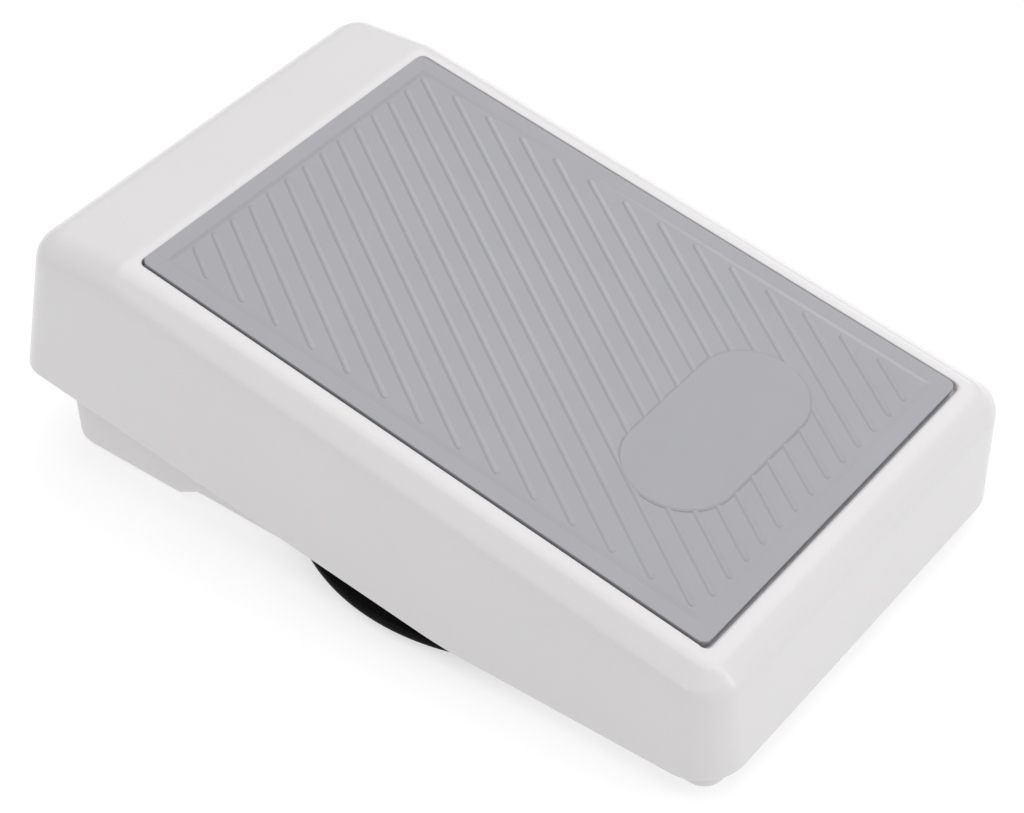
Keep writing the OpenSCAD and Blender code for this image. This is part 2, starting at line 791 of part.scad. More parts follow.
// Insulating block on the pocket's roof that guides the brushes
module brush_block() {
    ear_d = small_screw_d + 2 * block_ear_wall;
    color("saddlebrown") translate([0, brush_mid_y, roof_z]) difference() {
        union() {
            translate([-brush_half_w, -brush_half_l, 0])
                cube([2 * brush_half_w, 2 * brush_half_l, block_top - roof_z]);
            linear_extrude(block_ear_h) slot([-brush_ear_x, 0], [brush_ear_x, 0], ear_d);
        }
        for (r = ring_r)
            translate([0, reel_y + r - brush_mid_y, -cut])
                cylinder(r = brush_r + seat_gap, h = brush_h + cut);
        for (x = [-1, 1])
            translate([x * brush_ear_x, 0, -cut])
                cylinder(d = small_screw_d + 2 * slip, h = block_ear_h + 2 * cut);
    }
}

// Carbon brushes that press on the slip rings
module brushes() {
    low = drum_top + ring_t + slip;
    color("dimgray") for (r = ring_r)
        translate([0, reel_y + r, low]) cylinder(r = brush_r, h = brush_top - low);
}

// Screws of the brush block
module brush_screws() {
    shank = block_ear_h + base_wall - roof_skin - screw_spare;
    color("silver") brush_screw_places() translate([0, 0, roof_z + block_ear_h])
        screw_down(small_screw_d, shank, small_head_d, small_head_h);
}

// Grommet in the toe wall that the cord leaves through, with a flared mouth at each end
module cord_outlet() {
    total = outlet_len + outlet_lip;
    body_w = groove_w - 2 * slip;
    lip_w = groove_w + 2 * outlet_rim;
    body_h = groove_top - slip - base_lift;
    mouth_d = outlet_d + 2 * outlet_flare;
    color("dimgray") translate([groove_x, base_toe - outlet_len, 0]) difference() {
        translate([0, 0, base_lift]) union() {
            translate([-body_w / 2, 0, 0]) cube([body_w, total, body_h]);
            translate([-lip_w / 2, outlet_len, 0]) cube([lip_w, outlet_lip, body_h - outlet_step]);
        }
        translate([0, 0, outlet_z]) rotate([-90, 0, 0]) {
            translate([0, 0, -cut]) cylinder(d = outlet_d, h = total + 2 * cut);
            cylinder(d1 = mouth_d, d2 = outlet_d, h = outlet_flare);
            translate([0, 0, total - outlet_flare]) cylinder(d1 = outlet_d, d2 = mouth_d, h = outlet_flare);
        }
    }
}

// Circuit board on its bosses behind the plunger
module control_board() {
    color("seagreen") difference() {
        translate([board_x0, board_y, board_z]) cube([board_l, board_w, board_t]);
        board_screw_places() translate([0, 0, board_z - cut])
            cylinder(d = small_screw_d + 2 * slip, h = board_t + 2 * cut);
    }
}

// Screws of the circuit board
module board_screws() {
    color("silver") board_screw_places() translate([0, 0, board_top])
        screw_down(small_screw_d, board_t + screw_hold, small_head_d, small_head_h);
}

// Magnetic sensor standing on its three legs at the board's edge, beside the plunger
module hall_sensor() {
    body = [4.1, 1.6, 3.2];
    leg = 0.5;
    leg_h = 3;
    color("dimgray") translate([0, board_y + body[1] / 2, board_top]) {
        translate([-body[0] / 2, -body[1] / 2, leg_h]) cube(body);
        for (i = [-1 : 1])
            translate([i * lead_pitch - leg / 2, -leg / 2, 0]) cube([leg, leg, leg_h]);
    }
}

// Signal chip with its two rows of leads
module signal_chip() {
    body = [9, 4, 1.6];
    lead = [0.6, 1, 0.6];
    stand = 0.2;
    place = [15, 12.4];
    color("dimgray") translate([board_x0 + place[0], board_y + place[1], board_top]) {
        translate([-body[0] / 2, -body[1] / 2, stand]) cube(body);
        for (i = [-3 : 3])
            translate([i * lead_pitch - lead[0] / 2, -body[1] / 2 - lead[1], 0])
                cube([lead[0], body[1] + 2 * lead[1], lead[2]]);
    }
}

// Connector that the two wires from the brushes plug into
module board_connector() {
    socket = [connector[0] - 2 * connector_wall, connector[1] - 2 * connector_wall, connector[2]];
    color("ivory") translate([connector_x - connector[0] / 2, board_mid_y, board_top])
        difference() {
            cube(connector);
            translate(connector_wall * [1, 1, 2]) cube(socket);
        }
}

// Point at share t of a smooth curve from a to d that leaves towards b and arrives from c
function curve(a, b, c, d, t) =
    a * pow(1 - t, 3) + 3 * b * t * pow(1 - t, 2) + 3 * c * t * t * (1 - t) + d * pow(t, 3);

// Unit vector along v
function unit(v) = v / norm(v);

// Round wire along a path
module wire(path, r, sides = 6) {
    last = len(path) - 1;
    points = [
        for (i = [0 : last], k = [0 : sides - 1])
            let (
                along = unit(path[min(i + 1, last)] - path[max(i - 1, 0)]),
                side = unit(cross(along, [1, -1, 1])),
                up = cross(side, along),
                around = 360 * k / sides
            )
            path[i] + r * (cos(around) * side + sin(around) * up)
    ];
    skin = [
        for (i = [0 : last - 1], k = [0 : sides - 1])
            let (a = i * sides + k, b = i * sides + (k + 1) % sides)
            each [[a, a + sides, b], [b, a + sides, b + sides]]
    ];
    start = [for (k = [0 : sides - 1]) k];
    end = [for (k = [sides - 1 : -1 : 0]) last * sides + k];
    polyhedron(points, concat([start], skin, [end]), convexity = 6);
}

// Two wires from the brush block, over the guide tube's side, into the board's connector
module lead_wires() {
    lane = 2.5;
    bow = 8;
    steps = 12;
    plug_y = board_mid_y + connector[1] / 2;
    plug_z = board_top + connector[2] + 2 * lane;
    color("firebrick") for (i = [0, 1])
        let (
            x = connector_x + (2 * i - 1) * lane / 2,
            start = [0, reel_y + ring_r[i], block_top + 2 * slip],
            leave = start + [0, 0, guide_top - block_top + bow + 2 * lane * (1 - i)],
            arrive = [4 * guide_screw_x + i * lane, plunger_y + bow, plug_z + bow],
            plug = [x, plug_y, plug_z],
            socket = [x, plug_y, board_top + 2 * connector_wall + slip]
        )
        wire(concat([for (j = [0 : steps]) curve(start, leave, arrive, plug, j / steps)], [socket]), wire_r);
}

// Guide tube of the plunger, with two screw ears
module plunger_guide() {
    bore = plunger_r + run_gap;
    color("ivory") translate([0, plunger_y, 0]) difference() {
        union() {
            translate([0, 0, guide_foot]) cylinder(r = guide_r, h = guide_top - guide_foot);
            translate([0, 0, guide_ear_z]) linear_extrude(guide_ear_t)
                slot([-guide_screw_x, 0], [guide_screw_x, 0], small_screw_d + 4);
        }
        translate([0, 0, guide_floor]) cylinder(r = bore, h = guide_top);
        for (x = [-1, 1])
            translate([x * guide_screw_x, 0, guide_ear_z - cut])
                cylinder(d = small_screw_d + 2 * slip, h = guide_ear_t + 2 * cut);
    }
}

// Screws of the guide tube
module guide_screws() {
    color("silver") guide_screw_places() translate([0, 0, guide_ear_z + guide_ear_t])
        screw_down(small_screw_d, guide_ear_t + screw_hold, small_head_d, small_head_h);
}

// Light spring that keeps the plunger against the treadle
module plunger_spring() {
    color("silver") translate([0, plunger_y, guide_floor])
        coil_spring(plunger_d - 2 * spring_play, plunger_wire, plunger_turns, plunger_z - guide_floor, 6, 12);
}

// Plunger with a round tip, moved down by the treadle
module plunger() {
    color("dimgray") translate([0, plunger_y, 0]) difference() {
        union() {
            translate([0, 0, plunger_z]) cylinder(r = plunger_r, h = tip_z - plunger_r - plunger_z);
            translate([0, 0, tip_z - plunger_r]) sphere(plunger_r);
        }
        translate([0, 0, magnet_z]) rotate([-90, 0, 0])
            cylinder(r = magnet_r + seat_gap, h = plunger_r + cut);
    }
}

// Small magnet set in the plunger's side, facing the sensor
module plunger_magnet() {
    color("gray") translate([0, plunger_y, magnet_z]) rotate([-90, 0, 0])
        translate([0, 0, seat_gap]) cylinder(r = magnet_r, h = plunger_r - magnet_inset);
}

// Rubber bumper with a domed top and a stem, standing on its seat
module bumper() {
    flat_d = bumper_d - 4 * bumper_dome;
    translate([0, 0, -bumper_stem]) cylinder(d = bumper_stem_d, h = bumper_stem + bumper_dome);
    cylinder(d = bumper_d, h = bumper_h - bumper_dome);
    translate([0, 0, bumper_h - bumper_dome]) cylinder(d1 = bumper_d, d2 = flat_d, h = bumper_dome);
}

// Bumpers at the heel, which the treadle rests on
module heel_bumpers() {
    color("dimgray") heel_stops() bumper();
}

// Bumpers at the toe, which end the treadle's travel
module toe_bumpers() {
    color("dimgray") toe_stops() bumper();
}

// Return spring on the left
module return_spring_left() {
    color("silver") translate([-spring_x, spring_y, spring_seat_z])
        coil_spring(spring_d, spring_wire, spring_turns, spring_len);
}

// Return spring on the right
module return_spring_right() {
    color("silver") translate([spring_x, spring_y, spring_seat_z])
        coil_spring(spring_d, spring_wire, spring_turns, spring_len);
}

// Steel axle across the pedal, with a groove for a clip near each end
module hinge_axle() {
    color("silver") translate([0, axle_y, axle_z]) rotate([0, 90, 0]) difference() {
        cylinder(r = axle_r, h = 2 * axle_half, center = true);
        for (x = [-1, 1])
            translate([0, 0, x * (clip_x + clip_t / 2)]) difference() {
                cylinder(r = axle_d, h = clip_t + slip, center = true);
                cylinder(r = clip_seat_r, h = clip_t + cut, center = true);
            }
    }
}

// Spring-steel clips in the axle's grooves
module axle_clips() {
    color("silver") both_sides() translate([clip_x, axle_y, axle_z]) rotate([0, 90, 0]) difference() {
        cylinder(r = axle_r + clip_rim, h = clip_t);
        translate([0, 0, -cut]) cylinder(r = clip_seat_r + seat_gap, h = clip_t + 2 * cut);
        translate([0, -clip_mouth / 2, -cut]) cube([axle_d * 2, clip_mouth, clip_t + 2 * cut]);
    }
}

// Flanged bushes in the cover's ears
module axle_bushes() {
    color("ivory") both_sides() translate([ear_x, axle_y, axle_z]) rotate([0, 90, 0]) difference() {
        union() {
            cylinder(r = bush_r, h = ear_t);
            translate([0, 0, -bush_flange]) cylinder(r = bush_r + bush_rim, h = bush_flange);
        }
        translate([0, 0, -cut - bush_flange])
            cylinder(r = axle_r + run_gap, h = ear_t + bush_flange + 2 * cut);
    }
}

// Smooth outer form of the cover, or its hollow when inset and lowered
module cover_form(inset, lower, drop, facets) {
    r = edge_r - inset;
    skirt = skirt_r - inset;
    lean = toe_y - skirt_r;
    hull() {
        on_pad() for (x = [-1, 1]) {
            translate([x * corner_u, heel_v, edge_w - lower]) sphere(r, $fn = facets);
            translate([x * corner_u, strip_v, edge_w - lower]) sphere(r, $fn = facets);
            translate([x * corner_u, toe_v, toe_w - lower]) sphere(r, $fn = facets);
        }
        for (x = [-1, 1]) {
            translate([x * (half_w - skirt_r), heel_y + skirt_r, heel_edge - drop])
                cylinder(r = skirt, h = foot_slice, $fn = facets);
            translate([x * (half_w - skirt_r), bend_y, heel_edge - drop])
                cylinder(r = skirt, h = foot_slice, $fn = facets);
            translate([x * (half_w - skirt_r), lean, toe_edge - tan(toe_rise) * skirt_r - drop])
                rotate([toe_rise, 0, 0]) cylinder(r = skirt, h = foot_slice, $fn = facets);
        }
    }
}

// Hollow under the toe strip, which is thinner than the deck under the pad
module strip_hollow() {
    inset = cover_wall + inner_r;
    on_pad() translate([0, strip_v, edge_w + edge_r]) rotate([-strip_drop, 0, 0])
        translate([inset - half_w, inner_r, -cover_wall - recess_depth - 2 * deck_t])
            cube([2 * (half_w - inset), toe_v - strip_v - inner_r, recess_depth + 2 * deck_t]);
}

// Upright pieces under the deck, cut off inside its thickness
module under_deck() {
    intersection() {
        children();
        on_pad() translate([-half_w, -2 * pad_l, -4 * pad_height + recess_w - deck_t / 2])
            cube([2 * half_w, 4 * pad_l, 4 * pad_height]);
    }
}

// Ears, spring cups, stop posts and ribs that hang from the deck
module deck_pieces() {
    tall = 2 * pad_height;
    rib_half = corner_u + edge_r * 0.4;
    under_deck() {
        both_sides() {
            translate([ear_x, axle_y - boss_r, axle_z]) cube([ear_t, 2 * boss_r, tall]);
            translate([spring_x, spring_y, spring_top]) cylinder(d = spring_d + 2 * cup_wall, h = tall);
            translate([toe_stop_x, toe_stop_y, toe_post_z]) cylinder(r = bumper_r, h = tall);
            translate([heel_stop_x, heel_stop_y, heel_stop_z + touch_gap]) cylinder(r = bumper_r, h = tall);
        }
        translate([0, plunger_y, tip_z + touch_gap]) cylinder(r = plunger_r + plunger_pad_rim, h = tall);
    }
    both_sides() translate([ear_x, axle_y, axle_z]) rotate([0, 90, 0]) cylinder(r = boss_r, h = ear_t);
    on_pad() {
        for (x = [-1, 1])
            translate([x * pad_w / 5 - rib_t / 2, -pad_l / 2, deck_w - rib_depth])
                cube([rib_t, pad_l, rib_depth + deck_t / 2]);
        for (v = [-pad_l / 4, pad_l / 4])
            translate([-rib_half, v - rib_t / 2, deck_w - rib_depth])
                cube([2 * rib_half, rib_t, rib_depth + deck_t / 2]);
    }
}

// Places of the pad's studs, in the pad's own frame
module stud_places() {
    for (x = [-0.3, 0.3], v = [-0.4, 0, 0.4])
        translate([x * pad_w, v * pad_l, 0]) children();
}

// White treadle cover: a rounded shell with the pad's recess on top and the hinge ears inside
module top_cover() {
    inner_lower = recess_depth + deck_t - cover_wall;
    color("white") difference() {
        union() {
            difference() {
                cover_form(0, 0, 0, outer_fn);
                cover_form(cover_wall, inner_lower, hollow_run, inner_fn);
                strip_hollow();
            }
            deck_pieces();
        }
        on_pad() translate([0, 0, recess_w]) linear_extrude(recess_depth + cut)
            round_rect(pad_w + 2 * pad_gap, pad_l + 2 * pad_gap, pad_r + pad_gap);
        on_pad() stud_places() translate([0, 0, deck_w - cut])
            cylinder(d = stud_d + 2 * slip, h = deck_t + 2 * cut);
        translate([0, axle_y, axle_z]) rotate([0, 90, 0])
            cylinder(r = bush_r + seat_gap, h = 2 * (ear_x + ear_t) + cut, center = true);
        both_sides() translate([spring_x, spring_y, spring_top - cut]) spring_seat(cut);
    }
}

// Ridges across the pad's field, each clipped to the field
module ridge_lines() {
    half_u = pad_w / 2 - ridge_border - ridge_w / 2;
    half_v = pad_l / 2 - ridge_border - ridge_w / 2;
    slope = 1 / tan(ridge_angle);
    count = ceil((half_u + half_v * slope) / ridge_pitch);
    for (i = [-count : count])
        let (
            u = (i - ridge_shift) * ridge_pitch,
            low = max(-half_v, (-half_u - u) / slope),
            high = min(half_v, (half_u - u) / slope)
        )
        if (high - low > 2 * ridge_w)
            slot([u + low * slope, low], [u + high * slope, high], ridge_w);
}

// Grey ribbed pad: a sheet with a creased border, slanting ridges and a bare plaque, held by studs
module tread_pad() {
    field_w = pad_w - 2 * crease_border;
    field_l = pad_l - 2 * crease_border;
    plaque_v = plaque_from_heel - pad_l / 2;
    plaque_end = (plaque_l - plaque_w) / 2;
    stud_low = deck_w - stud_play;
    color("darkgray") on_pad() {
        translate([0, 0, recess_w]) linear_extrude(recess_depth + pad_proud - crease_depth)
            round_rect(pad_w, pad_l, pad_r);
        translate([0, 0, recess_w]) linear_extrude(recess_depth + pad_proud)
            round_rect(field_w, field_l, pad_r);
        linear_extrude(2 * ridge_h, center = true) {
            ridge_lines();
            slot([-plaque_end, plaque_v], [plaque_end, plaque_v], plaque_w);
        }
        stud_places() {
            translate([0, 0, stud_low]) cylinder(d = stud_d, h = deck_t + 2 * stud_play);
            translate([0, 0, stud_low - stud_head])
                cylinder(d1 = stud_d, d2 = stud_d + 2 * stud_rim, h = stud_head);
        }
    }
}

base_tray();
rubber_feet();
reel_spindle();
reel_drum();
upper_flange();
slip_rings();
reel_flange();
reel_screws();
spindle_washer();
spindle_screw();
brush_block();
brushes();
brush_screws();
cord_outlet();
control_board();
board_screws();
hall_sensor();
signal_chip();
board_connector();
lead_wires();
plunger_guide();
guide_screws();
plunger_spring();
plunger();
plunger_magnet();
heel_bumpers();
toe_bumpers();
return_spring_left();
return_spring_right();
hinge_axle();
axle_clips();
axle_bushes();
top_cover();
tread_pad();
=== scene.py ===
import json
import bmesh
import bpy
import numpy as np
from mathutils import Matrix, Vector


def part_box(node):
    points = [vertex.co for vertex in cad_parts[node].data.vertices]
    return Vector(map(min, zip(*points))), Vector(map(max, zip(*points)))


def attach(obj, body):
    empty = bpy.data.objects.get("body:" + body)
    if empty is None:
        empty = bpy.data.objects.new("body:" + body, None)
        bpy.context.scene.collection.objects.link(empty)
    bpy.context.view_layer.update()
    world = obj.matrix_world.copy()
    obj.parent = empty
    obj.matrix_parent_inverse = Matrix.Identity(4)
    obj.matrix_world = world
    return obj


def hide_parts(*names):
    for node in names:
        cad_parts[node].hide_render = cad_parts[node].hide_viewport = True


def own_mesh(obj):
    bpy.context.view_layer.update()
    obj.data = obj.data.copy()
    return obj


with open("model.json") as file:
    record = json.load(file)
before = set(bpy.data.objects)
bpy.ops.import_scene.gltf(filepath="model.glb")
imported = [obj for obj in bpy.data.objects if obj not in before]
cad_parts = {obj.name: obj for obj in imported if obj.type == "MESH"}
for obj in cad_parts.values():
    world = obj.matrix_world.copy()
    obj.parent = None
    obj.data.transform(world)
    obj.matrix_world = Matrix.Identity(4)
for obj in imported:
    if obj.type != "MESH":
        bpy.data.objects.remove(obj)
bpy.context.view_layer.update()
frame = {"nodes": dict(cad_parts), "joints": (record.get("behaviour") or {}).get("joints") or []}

# Base tray
# The tray is one injection moulding in white ABS. Its walls stand inside the cover, its floor steps up
# over the reel's flange, and bosses, axle posts and the reel's round pocket are moulded with it.
MM = 0.001


def box_mm(node):
    """Lowest and highest corner of a CAD node, in millimetres."""
    low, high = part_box(node)
    return np.array(low) / MM, np.array(high) / MM


def joint_facts(name):
    """What the frame says of a joint."""
    return next(joint for joint in frame["joints"] if joint["name"] == name)


def walk(corners, turns, arc, side):
    """Closed walk round a plate with round corners, as the centres and angles of its outline.

    At a corner the centre stays and the angle sweeps evenly between its two turns; along a side the
    angle stays and the centre moves evenly to the next corner. A corner may have any number of values.
    """
    corners = np.asarray(corners, float)
    centres, angles = [], []
    for here, after, (start, end) in zip(corners, np.roll(corners, -1, axis=0), turns):
        centres += [np.repeat(here[None], arc, axis=0), np.linspace(here, after, side + 2)[1:-1]]
        angles += [np.linspace(start, end, arc), np.full(side, end)]
    centres.append(corners[:1])
    angles.append([turns[0][0] + 360.0])
    return np.concatenate(centres), np.radians(np.concatenate(angles))


def turned(profile, place, axis=2, steps=48):
    """Surface of revolution: a profile of (radius, height) pairs swung round an axis through a place."""
    radius, height = np.asarray(profile, float).T[:, :, None]
    swing = np.linspace(0.0, 2.0 * np.pi, steps + 1)
    spun = np.stack([radius * np.cos(swing), radius * np.sin(swing), height + 0.0 * swing], axis=-1)
    return np.roll(spun, axis - 2, axis=-1) + np.asarray(place, float)


def peg(place, radius, low, high, bore=0.0, depth=0.0, soft=0.4):
    """Upright boss: its side, a softened upper rim, its top and, where it has one, a blind bore."""
    bulge = 0.3 * soft
    mouth = [(bore, high), (bore, high - depth), (0.0, high - depth)] if bore else [(0.0, high)]
    side = [(0.0, low), (radius, low), (radius, high - soft), (radius - bulge, high - bulge)]
    return turned(side + [(radius - soft, high)] + mouth, (place[0], place[1], 0.0), steps=32)


def slab(low, high):
    """Closed box as a ring of four corners carried up its height, drawn in to a point at both ends."""
    (x0, y0, z0), (x1, y1, z1) = low, high
    ring = np.array([(x0, y0), (x1, y0), (x1, y1), (x0, y1), (x0, y0)])
    middle = np.repeat(ring[:4].mean(axis=0)[None], 5, axis=0)
    rows = [(middle, z0), (ring, z0), (ring, z1), (middle, z1)]
    return np.stack([np.column_stack([plan, np.full(5, z)]) for plan, z in rows])


# Points nearer than the first are welded, shorter edges than the second go, steeper bends stay crisp.
weld_mm, sliver_mm = 0.002, 0.001
crisp_deg = 35.0


def make_piece(name, grids, sharp=crisp_deg):
    """Mesh object from grids of points in millimetres: neighbours in a grid make quads, coinciding points
    are merged, faces are turned outwards, and edges that bend by more than the sharp angle stay crisp."""
    points, faces, start = [], [], 0
    for grid in grids:
        rows, columns = grid.shape[:2]
        first = start + np.arange((rows - 1) * columns).reshape(rows - 1, columns)[:, :-1].ravel()
        faces.append(np.stack([first, first + 1, first + columns + 1, first + columns], axis=-1))
        points.append(grid.reshape(-1, 3) * MM)
        start += rows * columns
    mesh = bpy.data.meshes.new(name)
    mesh.from_pydata(np.concatenate(points).tolist(), [], np.concatenate(faces).tolist())
    work = bmesh.new()
    work.from_mesh(mesh)
    bmesh.ops.remove_doubles(work, verts=work.verts, dist=weld_mm * MM)
    bmesh.ops.dissolve_degenerate(work, edges=work.edges, dist=sliver_mm * MM)
    bmesh.ops.recalc_face_normals(work, faces=work.faces)
    work.to_mesh(mesh)
    work.free()
    mesh.shade_smooth()
    mesh.set_sharp_from_angle(angle=np.radians(sharp))
    piece = bpy.data.objects.new(name, mesh)
    bpy.context.scene.collection.objects.link(piece)
    return piece


def linear(hex_colour):
    """sRGB hex colour as linear red, green, blue and alpha."""
    srgb = np.array([int(hex_colour[i:i + 2], 16) for i in (1, 3, 5)]) / 255.0
    return (*np.where(srgb <= 0.04045, srgb / 12.92, ((srgb + 0.055) / 1.055) ** 2.4), 1.0)


def add(tree, kind, settings, **links):
    """Add one node: each setting goes to the property or input of its name, each link joins an input."""
    made = tree.nodes.new(kind)
    for key, value in settings.items():
        if hasattr(made, key):
            setattr(made, key, value)
        else:
            made.inputs[key].default_value = value
    for key, socket in links.items():
        tree.links.new(socket, made.inputs[key.replace("_", " ")])
    return made


def moulded(name, light, dark, roughness, grain_mm, grain_depth_mm, cloud_mm, **shader_settings):
    """Moulded plastic or rubber: two near colours in slow clouds, an uneven gloss and a fine grain.

    A mould's grain is under 0.1 mm wide, too fine to show, so it is drawn as coarse as it is given.
    """
    uneven = 0.05
    finish = bpy.data.materials.new(name)
    finish.use_nodes = True
    tree = finish.node_tree
    shader = tree.nodes["Principled BSDF"]
    place = tree.nodes.new("ShaderNodeTexCoord").outputs["Object"]
    cloud = add(tree, "ShaderNodeTexNoise", {"Scale": 1.0 / (cloud_mm * MM), "Detail": 3.0}, Vector=place)
    grain = add(tree, "ShaderNodeTexNoise", {"Scale": 1.0 / (grain_mm * MM), "Detail": 2.0}, Vector=place)
    tint = add(tree, "ShaderNodeMix", {"data_type": "RGBA"}, Factor=cloud.outputs["Fac"])
    tint.inputs[6].default_value = linear(light)
    tint.inputs[7].default_value = linear(dark)
    gloss = add(tree, "ShaderNodeMapRange", {"To Min": roughness - uneven, "To Max": roughness + uneven},
                Value=grain.outputs["Fac"])
    relief = add(tree, "ShaderNodeBump", {"Distance": grain_depth_mm * MM, "Strength": 1.0},
                 Height=grain.outputs["Fac"])
    tree.links.new(tint.outputs[2], shader.inputs["Base Color"])
    tree.links.new(gloss.outputs["Result"], shader.inputs["Roughness"])
    tree.links.new(relief.outputs["Normal"], shader.inputs["Normal"])
    for key, value in shader_settings.items():
        shader.inputs[key.replace("_", " ")].default_value = value
    return finish


tray_low, tray_high = box_mm("base_tray")
hub = np.array(joint_facts("reel_turn")["pos_m"])[:2] / MM
tray_wall = 2.3
corner_heel, corner_toe = 5.0, 8.5
tray_taper = 2.6
edge_heel, edge_toe = 1.2, 2.2
rim_heel, rim_toe = 20.1, 33.6
step_up = 3.7
step_run = 8.0
relief_half = 60.4
pocket_r = 48.0
pocket_roof = 17.0


def underside(y):
    """Height of the tray's underside: level at both ends, and raised over the reel by soft steps."""
    inside = np.clip((relief_half + step_run - np.abs(y - hub[1])) / step_run, 0.0, 1.0)
    return tray_low[2] + step_up * inside * inside * (3.0 - 2.0 * inside)


heel_half = tray_high[0] - corner_heel
toe_half = tray_high[0] - tray_taper - corner_toe
tray_back, tray_front = tray_low[1] + corner_heel, tray_high[1] - corner_toe
lean = np.degrees(np.arctan(tray_taper / (tray_front - tray_back)))
tray_centres, tray_angles = walk(
    [(toe_half, tray_front), (-toe_half, tray_front), (-heel_half, tray_back), (heel_half, tray_back)],
    [(lean, 90.0), (90.0, 180.0 - lean), (180.0 - lean, 270.0), (270.0, 360.0 + lean)], arc=14, side=60)
tray_out = np.column_stack([np.cos(tray_angles), np.sin(tray_angles)])
tray_corner = np.interp(tray_centres[:, 1], [tray_back, tray_front], [corner_heel, corner_toe])
tray_edge = np.interp(tray_centres[:, 1], [tray_back, tray_front], [edge_heel, edge_toe])


def tray_row(inset, height):
    """One turn round the tray: its outline drawn in by an inset, at a height that follows the place."""
    plan = tray_centres + (tray_corner - inset)[:, None] * tray_out
    return np.column_stack([plan, height(plan[:, 1]) + np.zeros(len(plan))])


def tray_web(inset, radius, lift, steps):
    """Floor from the tray's outline to a circle round the reel's axis, following the underside's steps."""
    rim = tray_row(inset, underside)[:, :2]
    swing = np.arctan2(rim[:, 1] - hub[1], rim[:, 0] - hub[0])
    ring = hub + radius * np.column_stack([np.cos(swing), np.sin(swing)])
    plans = [(1.0 - t) * rim + t * ring for t in np.linspace(0.0, 1.0, steps)]
    return np.stack([np.column_stack([plan, underside(plan[:, 1]) + lift]) for plan in plans])


def tray_rim(y):
    """Height of the tray's rim, rising from the heel to the toe."""
    return np.interp(y, [tray_low[1], tray_high[1]], [rim_heel, rim_toe])


edge_turn = np.radians(np.linspace(0.0, 90.0, 7))
outer_rows = [tray_row(0.0, tray_rim), tray_row(0.0, lambda y: underside(y) + 2.0 * tray_edge)]
outer_rows += [tray_row(tray_edge * (1.0 - np.cos(a)),
                        lambda y, a=a: underside(y) + tray_edge * (1.0 - np.sin(a))) for a in edge_turn]
under_web = tray_web(tray_edge, pocket_r, 0.0, steps=30)
pocket_top = under_web[-1] * (1, 1, 0) + (0, 0, pocket_roof)
pocket_hub = np.column_stack([np.tile(hub, (len(pocket_top), 1)), np.full(len(pocket_top), pocket_roof)])
tray_outside = np.stack(outer_rows + list(under_web[1:]) + [pocket_top, pocket_hub])
floor_web = tray_web(tray_wall, pocket_r + tray_wall, tray_wall, steps=16)
roof_edge = floor_web[-1] * (1, 1, 0) + (0, 0, pocket_roof + tray_wall)
roof_hub = pocket_hub + (0, 0, tray_wall)
tray_top = [tray_row(0.0, tray_rim), tray_row(tray_wall, tray_rim)]
tray_inside = np.stack(tray_top + list(floor_web) + [roof_edge, roof_hub])

foot_low, foot_high = box_mm("rubber_feet")
outlet_low, outlet_high = box_mm("cord_outlet")
axle_low, axle_high = box_mm("hinge_axle")
axle = (axle_low + axle_high) / 2.0
spring_low, spring_high = box_mm("return_spring_right")
spring = (spring_low + spring_high) / 2.0
heel_stop_low, heel_stop_high = box_mm("heel_bumpers")
toe_stop_low, toe_stop_high = box_mm("toe_bumpers")
groove_x = (outlet_low[0] + outlet_high[0]) / 2.0
groove_half, groove_top = 4.0, 13.0
groove_start, groove_lap = 30.0, 4.0
# Bosses reach this far into the floor, and the cutter this far past it.
sunk, cut_past = 1.0, 1.0
spindle_boss_r, spindle_boss_rise = 5.4, 7.0
cup_r, cup_bore, cup_depth = 7.5, 6.1, 2.0
stop_r, stop_boss_r, stop_rise = 5.0, 6.0, 4.0
post_x, post_half, post_r = 41.6, 3.0, 6.6
heel_stop = np.array([heel_stop_high[0] - stop_r, heel_stop_low[1] + stop_r])
toe_stop = np.array([toe_stop_high[0] - stop_r, toe_stop_low[1] + stop_r])
floor_z = tray_low[2] + tray_wall
tray_bosses = [
    slab((groove_x - groove_half - tray_wall, hub[1] + pocket_r - groove_lap, floor_z),
         (groove_x + groove_half + tray_wall, tray_high[1] - tray_wall, groove_top + tray_wall)),
    peg(hub, spindle_boss_r, pocket_roof + sunk, pocket_roof + tray_wall + spindle_boss_rise)]
for side in (-1.0, 1.0):
    hand = np.array([side, 1.0])
    post = (side * post_x, axle[1], axle[2])
    post_head = [(0.0, -post_half), (post_r, -post_half), (post_r, post_half), (0.0, post_half)]
    tray_bosses += [
        peg(hand * spring[:2], cup_r, floor_z + step_up - sunk, spring_low[2] + cup_depth,
            bore=cup_bore, depth=cup_depth),
        peg(hand * heel_stop, stop_boss_r, floor_z - sunk, heel_stop_high[2] - stop_rise),
        peg(hand * toe_stop, stop_boss_r, floor_z - sunk, toe_stop_high[2] - stop_rise),
        slab((post[0] - post_half, post[1] - post_r, pocket_roof + sunk),
             (post[0] + post_half, post[1] + post_r, post[2])),
        turned(post_head, post, axis=0)]
tray = make_piece("tray_shell", [tray_outside, tray_inside] + tray_bosses)
groove = make_piece("groove_cutter", [
    slab((groove_x - groove_half, hub[1] + groove_start, -cut_past),
         (groove_x + groove_half, tray_high[1] + 2.0 * cut_past, groove_top))])
cut = tray.modifiers.new("groove", "BOOLEAN")
cut.operation = "DIFFERENCE"
cut.solver = "EXACT"
cut.use_self = True
cut.object = groove
bpy.context.view_layer.update()
carved = bpy.data.meshes.new_from_object(tray.evaluated_get(bpy.context.evaluated_depsgraph_get()))
tray.modifiers.remove(cut)
tray.data = carved
carved.set_sharp_from_angle(angle=np.radians(crisp_deg))
bpy.data.objects.remove(groove)
